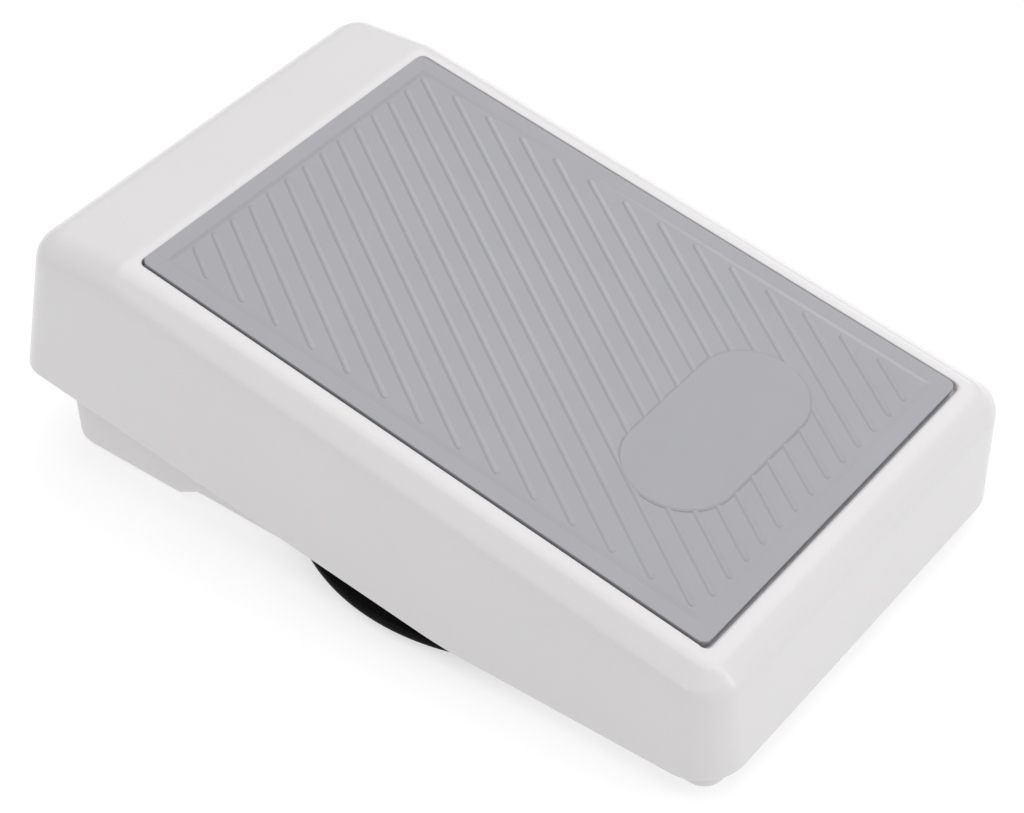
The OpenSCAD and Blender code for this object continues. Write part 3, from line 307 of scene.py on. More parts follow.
# White ABS from an etched mould: a satin face that shows soft light and no clear reflection. Its white is
# set a little lighter than the cover's as painted light, making up for the shade it gets under the cover.
white_tray = moulded("tray_white_abs", "#d7d5d5", "#d2d0d0", 0.42, 0.5, 0.004, 30.0, IOR=1.53)
tray.data.materials.append(white_tray)
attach(tray, "base")
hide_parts("base_tray")

# Rubber feet
# Four moulded rubber feet are pressed into bosses under the tray's corners. Each has a rounded tread
# with a shallow dimple and a grip groove round it.
foot_r = 7.0
foot_top = 3.5
toe_foot_x = 41.9
foot_tread = [(0.0, 0.25), (1.6, 0.25), (1.9, 0.0), (3.4, 0.0), (3.7, 0.3), (4.3, 0.3), (4.6, 0.0),
              (5.9, 0.0), (6.4, 0.1), (6.8, 0.45), (foot_r, 0.9), (foot_r, foot_top), (0.0, foot_top)]
foot_pair = [(foot_high[0] - foot_r, foot_low[1] + foot_r), (toe_foot_x, foot_high[1] - foot_r)]
foot_spots = [(side * x, y) for side in (-1.0, 1.0) for x, y in foot_pair]
feet = make_piece("rubber_foot_set", [turned(foot_tread, (x, y, 0.0)) for x, y in foot_spots])
# Black rubber from a blasted mould: dull, with only a faint sheen at the edges.
black_rubber = moulded("black_rubber", "#2b2b2c", "#242425", 0.72, 0.35, 0.012, 8.0, IOR=1.52)
feet.data.materials.append(black_rubber)
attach(feet, "base")
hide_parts("rubber_feet")

# Reel flange
# The black disc under the tray is the lower flange of the cord reel, moulded in ABS. It is turned by its
# rim or by two finger dimples, and three screws hold it to the drum.
disc_low, disc_high = box_mm("reel_flange")
disc_r = (disc_high[0] - disc_low[0]) / 2.0
disc_lip, disc_rim = 0.7, 3.2
disc_face = disc_low[2] + disc_lip
disc_seam = 0.1
eye_r = 9.0
dimple_r, dimple_in = 8.0, 18.0
seat_r, seat_at = 2.6, 14.0
sink, sink_soft = 0.6, 0.5
disc_swing = np.linspace(0.0, 2.0 * np.pi, 361)


def disc_underside(radius):
    """Lower face of the disc: flat inside a raised rim, with round dimples and screw seats sunk into it."""
    x, y = radius * np.cos(disc_swing), radius * np.sin(disc_swing)
    rim = np.clip((radius - (disc_r - disc_rim - disc_lip)) / disc_lip, 0.0, 1.0)
    height = np.full(x.shape, disc_face - disc_lip * rim)
    spots = [(disc_r - dimple_in, turn, dimple_r) for turn in (45.0, 225.0)]
    spots += [(seat_at, turn, seat_r) for turn in (90.0, 210.0, 330.0)]
    for at, turn, size in spots:
        away = np.hypot(x - at * np.cos(np.radians(turn)), y - at * np.sin(np.radians(turn)))
        height += sink * np.clip((size - away) / sink_soft, 0.0, 1.0)
    return np.column_stack([hub[0] + x, hub[1] + y, height])


rim_r = (disc_high[2] - disc_low[2]) / 2.0
rim_turn = np.radians(np.linspace(-90.0, 90.0, 13))
disc_rows = [disc_underside(r) for r in np.linspace(eye_r, disc_r - rim_r - disc_seam, 150)]
edge_out = disc_r - rim_r + rim_r * np.cos(rim_turn)
edge_up = disc_low[2] + rim_r + rim_r * np.sin(rim_turn)
disc_edge = [*zip(edge_out, edge_up), (eye_r, disc_high[2])]
disc_rows += list(turned(disc_edge, (hub[0], hub[1], 0.0), steps=360)) + [disc_underside(eye_r)]
disc = make_piece("reel_disc", [np.stack(disc_rows)])
# Black ABS from a blasted mould: a deep black that takes light only as a thin line on its rim.
black_abs = moulded("black_abs", "#0c0c0c", "#090909", 0.48, 0.4, 0.004, 15.0, Specular_IOR_Level=0.1)
disc.data.materials.append(black_abs)
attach(disc, "reel")
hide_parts("reel_flange")

# Cord outlet
# A black rubber grommet is pressed into the groove's end in the toe wall. Its flange lies on the wall and
# its bore is flared at both ends so that a lead does not chafe.
outlet_r = 2.3
outlet_axis = 5.2
outlet_turns = np.radians(np.linspace(0.0, 360.0, 65))
squareness = 6


def outlet_row(half, low, high, y):
    """Outline of the grommet across the lead: a ray from the bore meets a box with round corners.

    The box is the curve on which the two reaches, as shares of its half sizes and raised to the same
    high power, add up to one.
    """
    ray = np.column_stack([np.cos(outlet_turns), np.sin(outlet_turns)])
    reach = np.where(ray[:, 1] > 0.0, high - outlet_axis, outlet_axis - low)
    shares = np.abs(ray[:, 0] / half) ** squareness + np.abs(ray[:, 1] / reach) ** squareness
    far = shares ** (-1.0 / squareness)
    return np.column_stack([groove_x + far * ray[:, 0], np.full(len(far), y), outlet_axis + far * ray[:, 1]])


def outlet_ring(radius, y):
    """Round row of the grommet's bore."""
    return np.column_stack([groove_x + radius * np.cos(outlet_turns), np.full(len(outlet_turns), y),
                            outlet_axis + radius * np.sin(outlet_turns)])


outlet_lip, outlet_step, outlet_slip = 1.2, 1.1, 0.1
outlet_soft, outlet_sole = 0.4, 0.3
flare = 0.6
# How much wider the bore is at some depths behind its outer mouth.
outer_mouth = [(0.0, 0.7), (0.2, 0.25), (flare, 0.0)]
outlet_back, outlet_face = outlet_low[1], outlet_high[1]
outlet_foot = outlet_low[2]
lip_back = outlet_face - outlet_lip
lip_half, lip_top = outlet_high[0] - groove_x, groove_top - outlet_step
body_half, body_top = groove_half - outlet_slip, groove_top - outlet_slip
outlet_rows = [outlet_ring(outlet_r, outlet_back + flare)]
outlet_rows += [outlet_ring(outlet_r + wider, outlet_face - behind) for wider, behind in outer_mouth]
outlet_rows += [outlet_row(lip_half - outlet_soft, outlet_foot + outlet_sole,
                           lip_top - outlet_soft, outlet_face),
                outlet_row(lip_half, outlet_foot, lip_top, outlet_face - outlet_soft),
                outlet_row(lip_half, outlet_foot, lip_top, lip_back),
                outlet_row(body_half, outlet_foot, body_top, lip_back),
                outlet_row(body_half, outlet_foot, body_top, outlet_back),
                outlet_ring(outlet_r + flare, outlet_back), outlet_ring(outlet_r, outlet_back + flare)]
outlet = make_piece("outlet_grommet", [np.stack(outlet_rows)])
outlet.data.materials.append(black_rubber)
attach(outlet, "base")
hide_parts("cord_outlet")

# Springs
# Two return springs and the plunger's spring are wound from round steel wire with closed ends. They are
# zinc plated. The real ones shorten as the treadle goes down; each coil here keeps the length of its CAD
# box.
closed_turns = 0.75
steps_per_turn = 32


def plated(name, light, dark, roughness, streak_mm):
    """Plated or turned metal: near colours in fine streaks, with an uneven polish.

    Real streaks are too fine to show, so they are drawn as coarse as they are given.
    """
    uneven = 0.08
    finish = bpy.data.materials.new(name)
    finish.use_nodes = True
    tree = finish.node_tree
    shader = tree.nodes["Principled BSDF"]
    place = tree.nodes.new("ShaderNodeTexCoord").outputs["Object"]
    streak = add(tree, "ShaderNodeTexNoise", {"Scale": 1.0 / (streak_mm * MM), "Detail": 4.0}, Vector=place)
    tint = add(tree, "ShaderNodeMix", {"data_type": "RGBA"}, Factor=streak.outputs["Fac"])
    tint.inputs[6].default_value = linear(light)
    tint.inputs[7].default_value = linear(dark)
    gloss = add(tree, "ShaderNodeMapRange", {"To Min": roughness - uneven, "To Max": roughness + uneven},
                Value=streak.outputs["Fac"])
    tree.links.new(tint.outputs[2], shader.inputs["Base Color"])
    tree.links.new(gloss.outputs["Result"], shader.inputs["Roughness"])
    shader.inputs["Metallic"].default_value = 1.0
    return finish


def coil(node, wire, turns):
    """Round wire swept along a helix that fills a CAD spring's box, level over its closed end turns."""
    low, high = box_mm(node)
    centre = (low + high) / 2.0
    mean = (high[0] - low[0] - wire) / 2.0
    along = np.linspace(0.0, 1.0, int(turns * steps_per_turn) + 1)[:, None]
    around = np.linspace(0.0, 2.0 * np.pi, 11)[None]
    flat = closed_turns / turns
    climb = np.clip((along - flat) / (1.0 - 2.0 * flat), 0.0, 1.0)
    swing = 2.0 * np.pi * turns * along
    taper = np.where((along == 0.0) | (along == 1.0), 0.0, 0.5 * wire)
    reach = mean + taper * np.cos(around)
    height = low[2] + wire / 2.0 + (high[2] - low[2] - wire) * climb + taper * np.sin(around)
    return np.stack([centre[0] + reach * np.cos(swing), centre[1] + reach * np.sin(swing), height], axis=-1)


# Zinc plated steel: bright grey, with a soft broken shine along the drawn wire.
zinc = plated("zinc_plated_steel", "#c9cacc", "#b4b6b9", 0.3, 1.5)
# Each spring's node, wire and turns, the joint that shortens it and the share of its length that is left.
spring_facts = [("return_spring_left", 1.2, 7.5, "treadle_tilt", 0.72),
                ("return_spring_right", 1.2, 7.5, "treadle_tilt", 0.72),
                ("plunger_spring", 0.6, 5.0, "plunger_slide", 0.25)]
for node, wire, turns, joint, keep in spring_facts:
    spring_coil = make_piece(node + "_coil", [coil(node, wire, turns)])
    spring_coil.data.materials.append(zinc)
    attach(spring_coil, "base")
    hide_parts(node)
    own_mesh(spring_coil)

# Inner pieces
# The pieces inside keep their CAD shapes. Each gets the finish of its real material: turned and plated
# steel, brass, natural acetal, black ABS, phenolic board, carbon and wire sleeving.

# Natural acetal, moulded: cream coloured and a little waxy.
acetal = moulded("natural_acetal", "#e4dfcf", "#dbd5c2", 0.4, 0.5, 0.003, 12.0, IOR=1.48)
# Phenolic, pressed: brown and clouded, with a dull face.
phenolic = moulded("brown_phenolic", "#5b3a24", "#4a2d1b", 0.5, 0.6, 0.006, 5.0, IOR=1.6)
# Carbon, pressed from powder: dark grey, granular and dull.
carbon = moulded("pressed_carbon", "#2a2a2b", "#1c1c1d", 0.6, 0.2, 0.01, 1.0)
# Vinyl wire sleeve, extruded: an even red with a low shine.
red_sleeve = moulded("red_wire_sleeve", "#a32020", "#8f1919", 0.45, 0.4, 0.004, 6.0)
# Solder mask on a glass-fibre board, printed: deep green and fairly glossy.
solder_mask = moulded("green_solder_mask", "#1d6b3c", "#175a32", 0.25, 0.8, 0.004, 4.0)
# Brass, turned: yellow metal with fine tool marks.
brass = plated("turned_brass", "#d9b25a", "#c69d48", 0.25, 0.8)
# Nickel plating on a magnet: warm grey and bright.
nickel = plated("nickel_plating", "#b9b7b1", "#a8a6a0", 0.22, 1.0)
inner_finish = {
    zinc: ("reel_spindle", "reel_screws", "spindle_washer", "spindle_screw", "brush_screws", "board_screws",
           "guide_screws", "hinge_axle", "axle_clips"),
    black_abs: ("reel_drum", "upper_flange", "hall_sensor", "signal_chip", "plunger"),
    black_rubber: ("heel_bumpers", "toe_bumpers"),
    acetal: ("board_connector", "plunger_guide", "axle_bushes"),
    phenolic: ("brush_block",), carbon: ("brushes",), red_sleeve: ("lead_wires",),
    solder_mask: ("control_board",), brass: ("slip_rings",), nickel: ("plunger_magnet",)}
for finish, nodes in inner_finish.items():
    for node in nodes:
        slots = frame["nodes"][node].data.materials
        slots.clear()
        slots.append(finish)

# Top cover
# The treadle cover is one white ABS moulding with soft shoulders, a strip that turns down at the toe and
# a recess for the pad. Ears inside it turn on the axle.
cover_low, cover_high = box_mm("top_cover")
pad_tilt = np.radians(10.8)
pad_half = np.array([50.0, 78.4])
pad_height = 53.5
pad_proud = 0.8
edge_r = 9.0
skirt_toe, skirt_heel = 7.0, 11.5
inner_toe, inner_heel = 4.7, 6.0
cover_wall = 2.3
rim_side, rim_heel_end, rim_toe_end = 9.5, 11.0, 28.4
strip_v = pad_half[1] + 1.6
strip_drop = np.radians(13.1)
heel_flare = 0.3
heel_edge = 6.1
toe_rise = np.radians(8.6)
recess_depth = 2.2
recess_left, recess_right, recess_heel, recess_toe = 0.45, 0.85, 0.45, 0.2
recess_corner = 1.8
lip_sharp, lip_soft, lip_right = 0.12, 1.2, 0.25
facet_low, facet_high = 4.5, 3.3
bend_pad, bend_strip, bend_heel = 3.6, 7.6, 7.0
bend_from_v = 50.0
foot_soft, foot_lap = 0.7, 0.14
rise_run = 20.0

corner_u = pad_half[0] + rim_side - edge_r
heel_v = -(pad_half[1] + rim_heel_end - edge_r)
toe_v = pad_half[1] + rim_toe_end - edge_r
edge_w = -(pad_proud + edge_r)
toe_w = edge_w - np.tan(strip_drop) * (toe_v - strip_v)
pad_y = cover_low[1] - heel_v * np.cos(pad_tilt) + edge_w * np.sin(pad_tilt) + edge_r + heel_flare
bend_y = axle[1]


def from_pad(u, v, w):
    """Pad coordinates, across, along the slope and above the pad, as places in the shared frame."""
    u, v, w = np.broadcast_arrays(u, v, w)
    y = pad_y + v * np.cos(pad_tilt) - w * np.sin(pad_tilt)
    return np.stack([u, y, pad_height + v * np.sin(pad_tilt) + w * np.cos(pad_tilt)], axis=-1)


def strip_top(v, radius, centre_w):
    """Height of the cover's top along the slope: flat, then an arc round the bend, then a falling line."""
    past = v - strip_v
    arc = centre_w + np.sqrt(np.maximum(radius ** 2 - np.clip(past, 0.0, radius) ** 2, 0.0))
    fall = centre_w + radius / np.cos(strip_drop) - np.tan(strip_drop) * past
    return np.where(past <= 0.0, centre_w + radius, np.where(past < radius * np.sin(strip_drop), arc, fall))


def foot_height(y):
    """Height of the cover's lower edge: level at the heel, rising to the toe past its bend."""
    return heel_edge + np.tan(toe_rise) * np.maximum(y - bend_y, 0.0)


# Walk round the shoulder's centre line: two toe corners, the bend, two heel corners and the bend again.
# The fourth value is the share of the turn from the strip's slope to the pad's.
shoulder, shoulder_angle = walk(
    [(corner_u, toe_v, toe_w, 0.0), (-corner_u, toe_v, toe_w, 0.0),
     (-corner_u, strip_v, edge_w, 0.0), (-corner_u, strip_v, edge_w, 1.0),
     (-corner_u, heel_v, edge_w, 1.0), (corner_u, heel_v, edge_w, 1.0),
     (corner_u, strip_v, edge_w, 1.0), (corner_u, strip_v, edge_w, 0.0)],
    [(0.0, 90.0), (90.0, 180.0), (180.0, 180.0), (180.0, 180.0), (180.0, 270.0), (270.0, 360.0),
     (360.0, 360.0), (360.0, 360.0)], arc=16, side=24)


def unit(v):
    """Vectors made one long."""
    return v / np.linalg.norm(v, axis=-1, keepdims=True)


def cover_skin(inset, lower, toe_r, heel_r):
    """Foot line, normals of wall and top, shoulder centres and way out of the skin, drawn in and lowered.

    The foot's corners have one radius at the toe and one at the heel, blended evenly along the sides. The
    wall at each place is the plane that touches both the round foot and the shoulder's ball, so its lean
    follows from the distance between their centres.
    """
    radius = edge_r - inset
    centre = from_pad(shoulder[:, 0], shoulder[:, 1], shoulder[:, 2] - lower)
    plain = from_pad(shoulder[:, 0], shoulder[:, 1], shoulder[:, 2])
    slope = pad_tilt - strip_drop * (1.0 - shoulder[:, 3])
    top = np.column_stack([0.0 * slope, -np.sin(slope), np.cos(slope)])
    back, front = plain[:, 1].min(), plain[:, 1].max()
    skirt = np.interp(plain[:, 1], [back, front], [heel_r, toe_r])
    foot_ends = [cover_low[1] + inset + heel_r, cover_high[1] - inset - toe_r]
    foot_y = np.interp(plain[:, 1], [back, front], foot_ends)
    foot_x = shoulder[:, 0] * (cover_high[0] - inset - skirt) / corner_u
    foot = np.column_stack([foot_x, foot_y, foot_height(foot_y)])
    rise = toe_rise * np.clip((foot_y - bend_y) / rise_run, 0.0, 1.0)
    across, along = np.cos(shoulder_angle), np.sin(shoulder_angle)
    out = np.column_stack([across, along * np.cos(rise), along * np.sin(rise)])
    up = np.column_stack([0.0 * rise, -np.sin(rise), np.cos(rise)])
    gap = centre - foot
    reach = skirt - (gap * out).sum(axis=1)
    height = (gap * up).sum(axis=1)
    lean_up = np.arctan2(reach, height) - np.arcsin(np.clip(radius / np.hypot(reach, height), -1.0, 1.0))
    normal = np.cos(lean_up)[:, None] * out + np.sin(lean_up)[:, None] * up
    return foot + skirt[:, None] * out, normal, top, centre, out


def swing_between(start, end, steps):
    """Unit normals turned evenly from one direction to another, one row per step."""
    angle = np.arccos(np.clip((start * end).sum(axis=1, keepdims=True), -1.0, 1.0))
    shares = np.linspace(0.0, 1.0, steps)[:, None, None]
    return (np.sin((1.0 - shares) * angle) * start + np.sin(shares * angle) * end) / np.sin(angle)


def shoulder_rows(normal, centre, top, radius, bend):
    """Rows of the shoulder: a soft bend off the wall, a sloping facet, and a soft bend onto the top.

    The facet cuts the wall and the top at fixed heights and widths from the ball that touches both, and
    each bend is an arc that touches the facet and its neighbour.
    """
    turn = np.arccos(np.clip((normal * top).sum(axis=1, keepdims=True), -1.0, 1.0))
    up_wall = (top - np.cos(turn) * normal) / np.sin(turn)
    off_top = (normal - np.cos(turn) * top) / np.sin(turn)
    share = np.tan(turn / 2.0)
    low_cut = centre + radius * normal + facet_low * share * up_wall
    high_cut = centre + radius * top + facet_high * share * off_top
    slope = unit(high_cut - low_cut)
    facing = unit(normal - (normal * slope).sum(axis=1, keepdims=True) * slope)
    low_turn = np.arccos(np.clip((normal * facing).sum(axis=1, keepdims=True), -1.0, 1.0))
    low_centre = low_cut - bend * np.tan(low_turn / 2.0) * up_wall - bend * normal
    high_centre = high_cut - bend * np.tan((turn - low_turn) / 2.0) * off_top - bend * top
    low_bend = low_centre + bend * swing_between(normal, facing, 7)
    high_bend = high_centre + bend * swing_between(facing, top, 7)
    shares = np.linspace(0.0, 1.0, 5)[1:-1, None, None]
    facet = (1.0 - shares) * low_bend[-1] + shares * high_bend[0]
    return np.concatenate([low_bend, facet, high_bend])


def pad_loop(half, corner, drawn_in=0.0, middle=(0.0, 0.0)):
    """Round-cornered outline about a middle in the pad's plane that keeps step with the shoulder's walk."""
    share = np.clip((shoulder[:, 1] - heel_v) / (strip_v - heel_v), 0.0, 1.0)
    straight = half - corner
    u = shoulder[:, 0] / corner_u * straight[0]
    v = -straight[1] + 2.0 * straight[1] * share
    step = corner - drawn_in
    return middle[0] + u + step * np.cos(shoulder_angle), middle[1] + v + step * np.sin(shoulder_angle)


foot_line, wall_normal, top_normal, centres, foot_out = cover_skin(0.0, 0.0, skirt_toe, skirt_heel)
facing_heel = np.clip(-np.sin(shoulder_angle), 0.0, 1.0)
facing_right = np.clip(np.cos(shoulder_angle), 0.0, 1.0)
toe_share = np.clip((shoulder[:, 1] - bend_from_v) / (toe_v - bend_from_v), 0.0, 1.0)
bend_r = bend_pad + (bend_strip - bend_pad) * toe_share * toe_share * (3.0 - 2.0 * toe_share)
bend_r += (bend_heel - bend_pad) * facing_heel ** 2
over = shoulder_rows(wall_normal, centres, top_normal, edge_r, bend_r[:, None])
recess_half = pad_half + np.array([recess_left + recess_right, recess_heel + recess_toe]) / 2.0
recess_middle = np.array([recess_right - recess_left, recess_toe - recess_heel]) / 2.0
lip_r = lip_sharp + (lip_soft - lip_sharp) * np.maximum(facing_heel, lip_right * facing_right)
lip_u, lip_v = pad_loop(recess_half, recess_corner, -lip_r, recess_middle)
wall_shares = np.linspace(0.0, 1.0, 9)[:, None, None]
wall_dir = unit(over[0] - foot_line)
wall_start = foot_line + foot_soft * wall_dir
curl_start = foot_line - foot_soft * foot_out
curl = np.linspace(0.0, 1.0, 6)[:, None, None]
foot_curl = (1.0 - curl) ** 2 * curl_start + 2.0 * curl * (1.0 - curl) * foot_line + curl ** 2 * wall_start
wall_rows = (1.0 - wall_shares) * wall_start + wall_shares * over[0]

rim_along = (over[-1][:, 1] - pad_y) * np.cos(pad_tilt) + (over[-1][:, 2] - pad_height) * np.sin(pad_tilt)
rim_shares = np.linspace(0.0, 1.0, 26)[1:, None]
rim_u = (1.0 - rim_shares) * over[-1][:, 0] + rim_shares * lip_u
rim_v = (1.0 - rim_shares) * rim_along + rim_shares * lip_v
rim_rows = from_pad(rim_u, rim_v, strip_top(rim_v, edge_r, edge_w))
lip_turn = np.radians(np.linspace(0.0, 90.0, 6))[1:]
lip_rows = [from_pad(*pad_loop(recess_half, recess_corner, -lip_r * (1.0 - np.sin(a)), recess_middle),
                     -pad_proud - lip_r * (1.0 - np.cos(a))) for a in lip_turn]
recess_u, recess_v = pad_loop(recess_half, recess_corner, 0.0, recess_middle)
recess_w = -(pad_proud + recess_depth)
recess_rows = [from_pad(recess_u * t, recess_v * t, recess_w) for t in np.linspace(1.0, 0.0, 8)]
cover_outside = np.concatenate([foot_curl, wall_rows[1:], over[1:], rim_rows, lip_rows, recess_rows])

deck_lower = 2.2
deck_w = edge_w - deck_lower
in_r = edge_r - cover_wall
in_foot, in_normal, in_top, in_centres = cover_skin(cover_wall, deck_lower, inner_toe, inner_heel)[:4]
in_over = in_centres + in_r * swing_between(in_normal, in_top, 8)
deck_u = shoulder[:, 0]
deck_v = shoulder[:, 1] + in_r * np.sin(strip_drop * (1.0 - shoulder[:, 3]))
deck_rows = [from_pad(deck_u * t, deck_v * t, strip_top(deck_v * t, in_r, deck_w))
             for t in np.linspace(1.0, 0.0, 10)[1:]]
foot_in = in_foot + foot_lap * foot_out
cover_inside = np.concatenate([[curl_start, foot_in], in_over, deck_rows])

ear_x, ear_half, ear_r, ear_bore = 48.25, 2.5, 6.6, 4.1
ear_root = 4.0
spring_post_top, heel_post_top, toe_post_top = 60.0, 36.5, 64.0
ear_top = from_pad(0.0, (bend_y - pad_y) / np.cos(pad_tilt), -ear_root)[2]
full_tilt = np.radians(joint_facts("treadle_tilt")["range_deg"][1])
stop_gap = 0.3
toe_post = axle[2] + (toe_stop_high[2] + stop_gap - axle[2]) * np.cos(full_tilt)
toe_post += (toe_stop_high[1] - axle[1]) * np.sin(full_tilt)
cover_parts = [cover_outside, cover_inside]
for side in (-1.0, 1.0):
    hand = np.array([side, 1.0])
    ear = (side * ear_x, bend_y, axle[2])
    barrel = [(ear_bore, -ear_half), (ear_r, -ear_half), (ear_r, ear_half), (ear_bore, ear_half)]
    cover_parts += [
        slab((ear[0] - ear_half, ear[1] - ear_r, ear[2]), (ear[0] + ear_half, ear[1] + ear_r, ear_top)),
        turned(barrel + barrel[:1], ear, axis=0),
        peg(hand * spring[:2], cup_r, spring_high[2], spring_post_top),
        peg(hand * heel_stop, stop_r, heel_stop_high[2] + stop_gap, heel_post_top),
        peg(hand * toe_stop, stop_r, toe_post, toe_post_top)]
cover = make_piece("treadle_cover", cover_parts, sharp=40.0)
# White ABS from a polished mould: a clean sheen that draws soft lines of light on the shoulders.
white_abs = moulded("cover_white_abs", "#d4d2d3", "#d0cecf", 0.22, 0.6, 0.003, 40.0, IOR=1.53)
cover.data.materials.append(white_abs)
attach(cover, "treadle")
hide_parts("top_cover")

# Tread pad
# The pad is a grey thermoplastic rubber moulding let into the cover. Slanting beads give grip, a crease
# runs inside its edge, and a raised oval plaque lies near the heel.
pad_corner, corner_least = 2.2, 0.6
pad_edge_soft = 0.18
pad_draft = 0.3
crease_in = 4.0
crease_run = 1.4
crease_drop = 0.28
beside = 0.06
sunk_in = 0.01
pad_bottom = recess_w + 2.0 * sunk_in
ridge_pitch = 6.28
ridge_lean = np.radians(58.7)
ridge_half = 1.05
ridge_height = 0.28
ridge_peak = 0.35
ridge_end = 0.45
ridge_border, ridge_least = 6.7, 2.0
ridge_shift = 0.12
plaque_half = np.array([27.3, 13.8])
plaque_from_heel = 32.3
plaque_v = plaque_from_heel - pad_half[1]
plaque_edge = 0.5
plaque_wall = 0.12
plaque_height = 0.45
plaque_toe = 0.68


def pad_ring(inset, w):
    """One turn round the pad at an inset from its edge and a height above its face."""
    corner = max(pad_corner - inset, corner_least)
    return from_pad(*pad_loop(pad_half - inset, corner), w)


border_w = -crease_drop
edge_arc = np.radians(np.linspace(0.0, 90.0, 6))
pad_rows = [0.0 * pad_ring(0.0, 0.0) + from_pad(0.0, 0.0, pad_bottom), pad_ring(pad_draft, pad_bottom)]
pad_rows += [pad_ring(pad_edge_soft * (1.0 - np.cos(a)), border_w - pad_edge_soft * (1.0 - np.sin(a)))
             for a in edge_arc]
pad_rows += [pad_ring(pad_edge_soft + beside, border_w), pad_ring(crease_in - beside, border_w)]
ramp = [(0.0, 0.0), (0.15, 0.1), (0.85, 0.9), (1.0, 1.0)]
pad_rows += [pad_ring(crease_in + crease_run * t, border_w * (1.0 - up)) for t, up in ramp]
pad_rows += [pad_ring(crease_in + crease_run + beside, 0.0)]
field_u, field_v = pad_loop(pad_half - crease_in - crease_run - beside, corner_least)
pad_rows += [from_pad(field_u * t, field_v * t, 0.0) for t in np.linspace(1.0, 0.0, 6)[1:]]

# Every ridge is a bead along a line; all lines are worked out as one array, cut to the ridged field.
slant = 1.0 / np.tan(ridge_lean)
field = pad_half - ridge_border
count = int(np.ceil((field[0] + field[1] * slant) / ridge_pitch))
crossing = (np.arange(-count, count + 1) - ridge_shift) * ridge_pitch
ridge_from = np.maximum(-field[1], (-field[0] - crossing) / slant)
ridge_to = np.minimum(field[1], (field[0] - crossing) / slant)
long_enough = ridge_to - ridge_from > ridge_least
crossing, ridge_from, ridge_to = crossing[long_enough], ridge_from[long_enough], ridge_to[long_enough]


def bead(start, end):
    """Bead along a line: a raised cosine across it, steeper on its toe side, that ends in a half circle.

    Past either end the width shrinks as a half circle, and the height falls by an even slope over a share
    of that half circle.
    """
    reach = np.linalg.norm(end - start)
    ahead = (end - start) / reach
    aside = np.array([-ahead[1], ahead[0]])
    cap = np.radians(np.linspace(-90.0, 0.0, 7))
    along = np.append(ridge_half * np.sin(cap), reach + ridge_half * np.sin(cap + np.pi / 2.0))[:, None]
    across = np.linspace(-1.0, 1.0, 15)
    past = (np.maximum(-along, 0.0) + np.maximum(along - reach, 0.0)) / ridge_half
    width = ridge_half * np.sqrt(np.maximum(1.0 - past ** 2, 0.0)) * across
    plan = start + along[:, :, None] * ahead + width[:, :, None] * aside
    flank = np.abs(across - ridge_peak) / np.where(across > ridge_peak, 1.0 - ridge_peak, 1.0 + ridge_peak)
    fall = np.clip((1.0 - past) / ridge_end, 0.0, 1.0)
    height = ridge_height * 0.5 * (1.0 + np.cos(np.pi * flank)) * fall
    return from_pad(plan[:, :, 0], plan[:, :, 1], height - sunk_in)


ridges = [bead(np.array([u + low * slant, low]), np.array([u + high * slant, high]))
          for u, low, high in zip(crossing, ridge_from, ridge_to)]
plaque_turn = np.linspace(0.0, 2.0 * np.pi, 97)
plaque_end = plaque_half[0] - plaque_half[1]


def plaque_ring(inset, w):
    """One turn round the plaque: two half circles joined by straight sides, lower towards the toe."""
    radius = plaque_half[1] - inset
    u = plaque_end * np.sign(np.round(np.cos(plaque_turn), 9)) + radius * np.cos(plaque_turn)
    v = radius * np.sin(plaque_turn)
    share = plaque_toe + (1.0 - plaque_toe) * 0.5 * (1.0 - v / plaque_half[1])
    return from_pad(u, plaque_v + v, w * share)


chamfer = [(0.0, 0.0), (0.12, 0.1), (0.88, 0.9), (1.0, 1.0)]
plaque_slope = plaque_height - plaque_wall
plaque_rows = [plaque_ring(0.0, -sunk_in), plaque_ring(0.0, plaque_wall - beside)]
plaque_rows += [plaque_ring(plaque_edge * t, plaque_wall + plaque_slope * up) for t, up in chamfer]
plaque_rows += [plaque_ring(inset, plaque_height)
                for inset in (plaque_edge + beside, 0.5 * plaque_half[1], plaque_half[1])]
pad = make_piece("tread_sheet", [np.stack(pad_rows)] + ridges + [np.stack(plaque_rows)], sharp=50.0)
# Thermoplastic rubber from a smooth mould: mid grey, with a soft shine on the beads.
grey_rubber = moulded("grey_pad_rubber", "#98989d", "#949499", 0.3, 0.5, 0.002, 12.0, IOR=1.5)
pad.data.materials.append(grey_rubber)
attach(pad, "treadle")
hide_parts("tread_pad")

# Studio
# A plain pale floor and a white surround under one large softbox. Four smaller lamps model the shoulders
# and put a streak of light on the corners, and the camera stands at the photograph's viewing angle.
floor_half = 3.0
bpy.ops.mesh.primitive_plane_add(size=2.0 * floor_half)
floor = bpy.context.object
floor.name = "floor"
paper = bpy.data.materials.new("white_paper")
paper.use_nodes = True
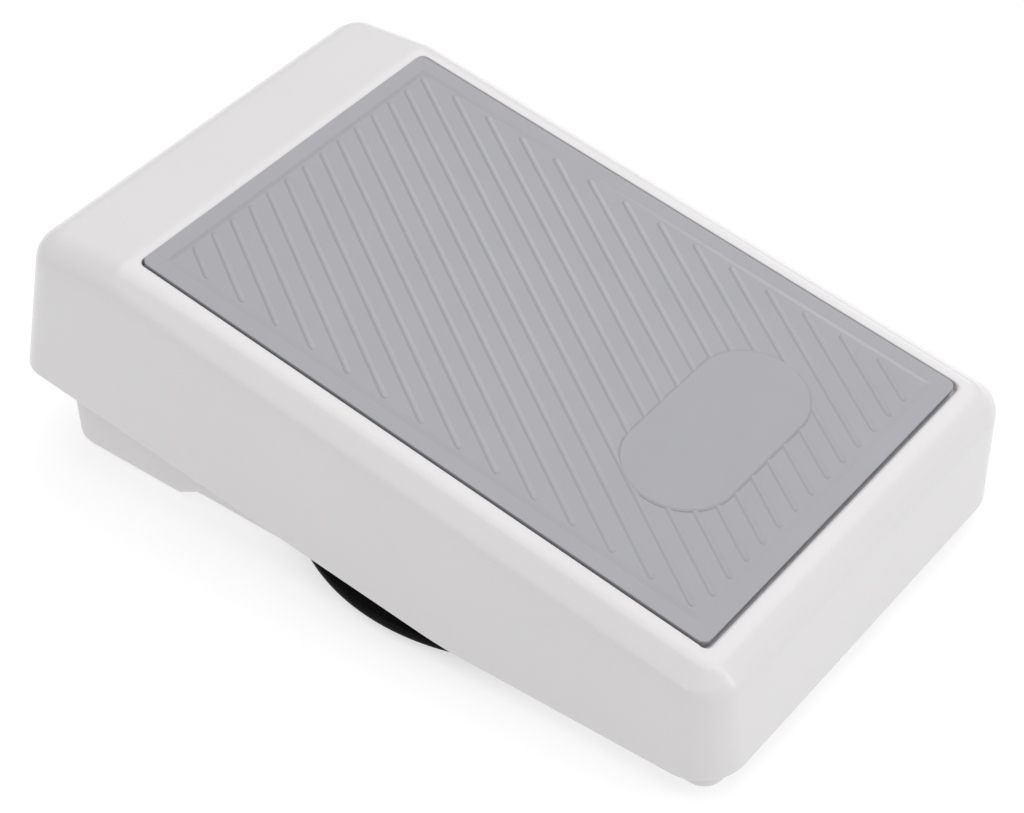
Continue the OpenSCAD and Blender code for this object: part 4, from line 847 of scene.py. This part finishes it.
# White backdrop paper: matt, with some light of its own so that it stays white round the part.
paper_looks = {"Base Color": linear("#a8a8a8"), "Roughness": 0.9,
               "Emission Color": linear("#ffffff"), "Emission Strength": 0.64}
for key, value in paper_looks.items():
    paper.node_tree.nodes["Principled BSDF"].inputs[key].default_value = value
floor.data.materials.append(paper)

scene = bpy.context.scene
scene.view_settings.view_transform = "Standard"
surround = bpy.data.worlds.new("white_surround")
scene.world = surround
surround.use_nodes = True
surround.node_tree.nodes["Background"].inputs["Color"].default_value = linear("#ffffff")
surround.node_tree.nodes["Background"].inputs["Strength"].default_value = 0.63


def lamp(name, place, aim, wide, deep, power):
    """Soft lamp of a width, depth and power in watts at a place, facing a point, in metres."""
    light = bpy.data.lights.new(name, "AREA")
    light.shape = "RECTANGLE"
    light.size = wide
    light.size_y = deep
    light.energy = power
    holder = bpy.data.objects.new(name, light)
    scene.collection.objects.link(holder)
    back = unit(np.array(place) - np.array(aim))
    right = unit(np.cross((0.0, 0.0, 1.0), back))
    axes = Matrix(np.column_stack([right, np.cross(back, right), back]).tolist()).to_4x4()
    axes.translation = place
    holder.matrix_world = axes


lamp("softbox", (0.3, -0.1, 1.4), (0.3, -0.11, 0.0), wide=2.4, deep=1.8, power=15.5)
lamp("key", (0.27, -0.99, 1.06), (0.0, 0.0, 0.03), wide=0.6, deep=0.6, power=1.6)
lamp("corner_spark", (0.5, -1.33, 0.42), (-0.05, -0.1, 0.03), wide=0.2, deep=0.8, power=2.0)
lamp("left_spark", (-1.15, 0.0, 0.7), (0.0, 0.0, 0.03), wide=0.12, deep=0.12, power=0.25)
lamp("far_side", (1.25, 0.16, 0.71), (0.0, 0.0, 0.05), wide=0.35, deep=0.35, power=1.1)

lens = bpy.data.cameras.new("camera")
lens.lens = 94.39
lens.sensor_width = 36.0
lens.sensor_fit = "HORIZONTAL"
lens.clip_start = 0.01
camera = bpy.data.objects.new("camera", lens)
scene.collection.objects.link(camera)
camera_place = (-0.3670, -0.3006, 0.43875)
ahead = np.array([0.58220, 0.47279, -0.66143])
upward = np.array([0.53785, 0.38612, 0.74940])
axes = Matrix(np.column_stack([np.cross(ahead, upward), upward, -ahead]).tolist()).to_4x4()
axes.translation = camera_place
camera.matrix_world = axes
scene.camera = camera
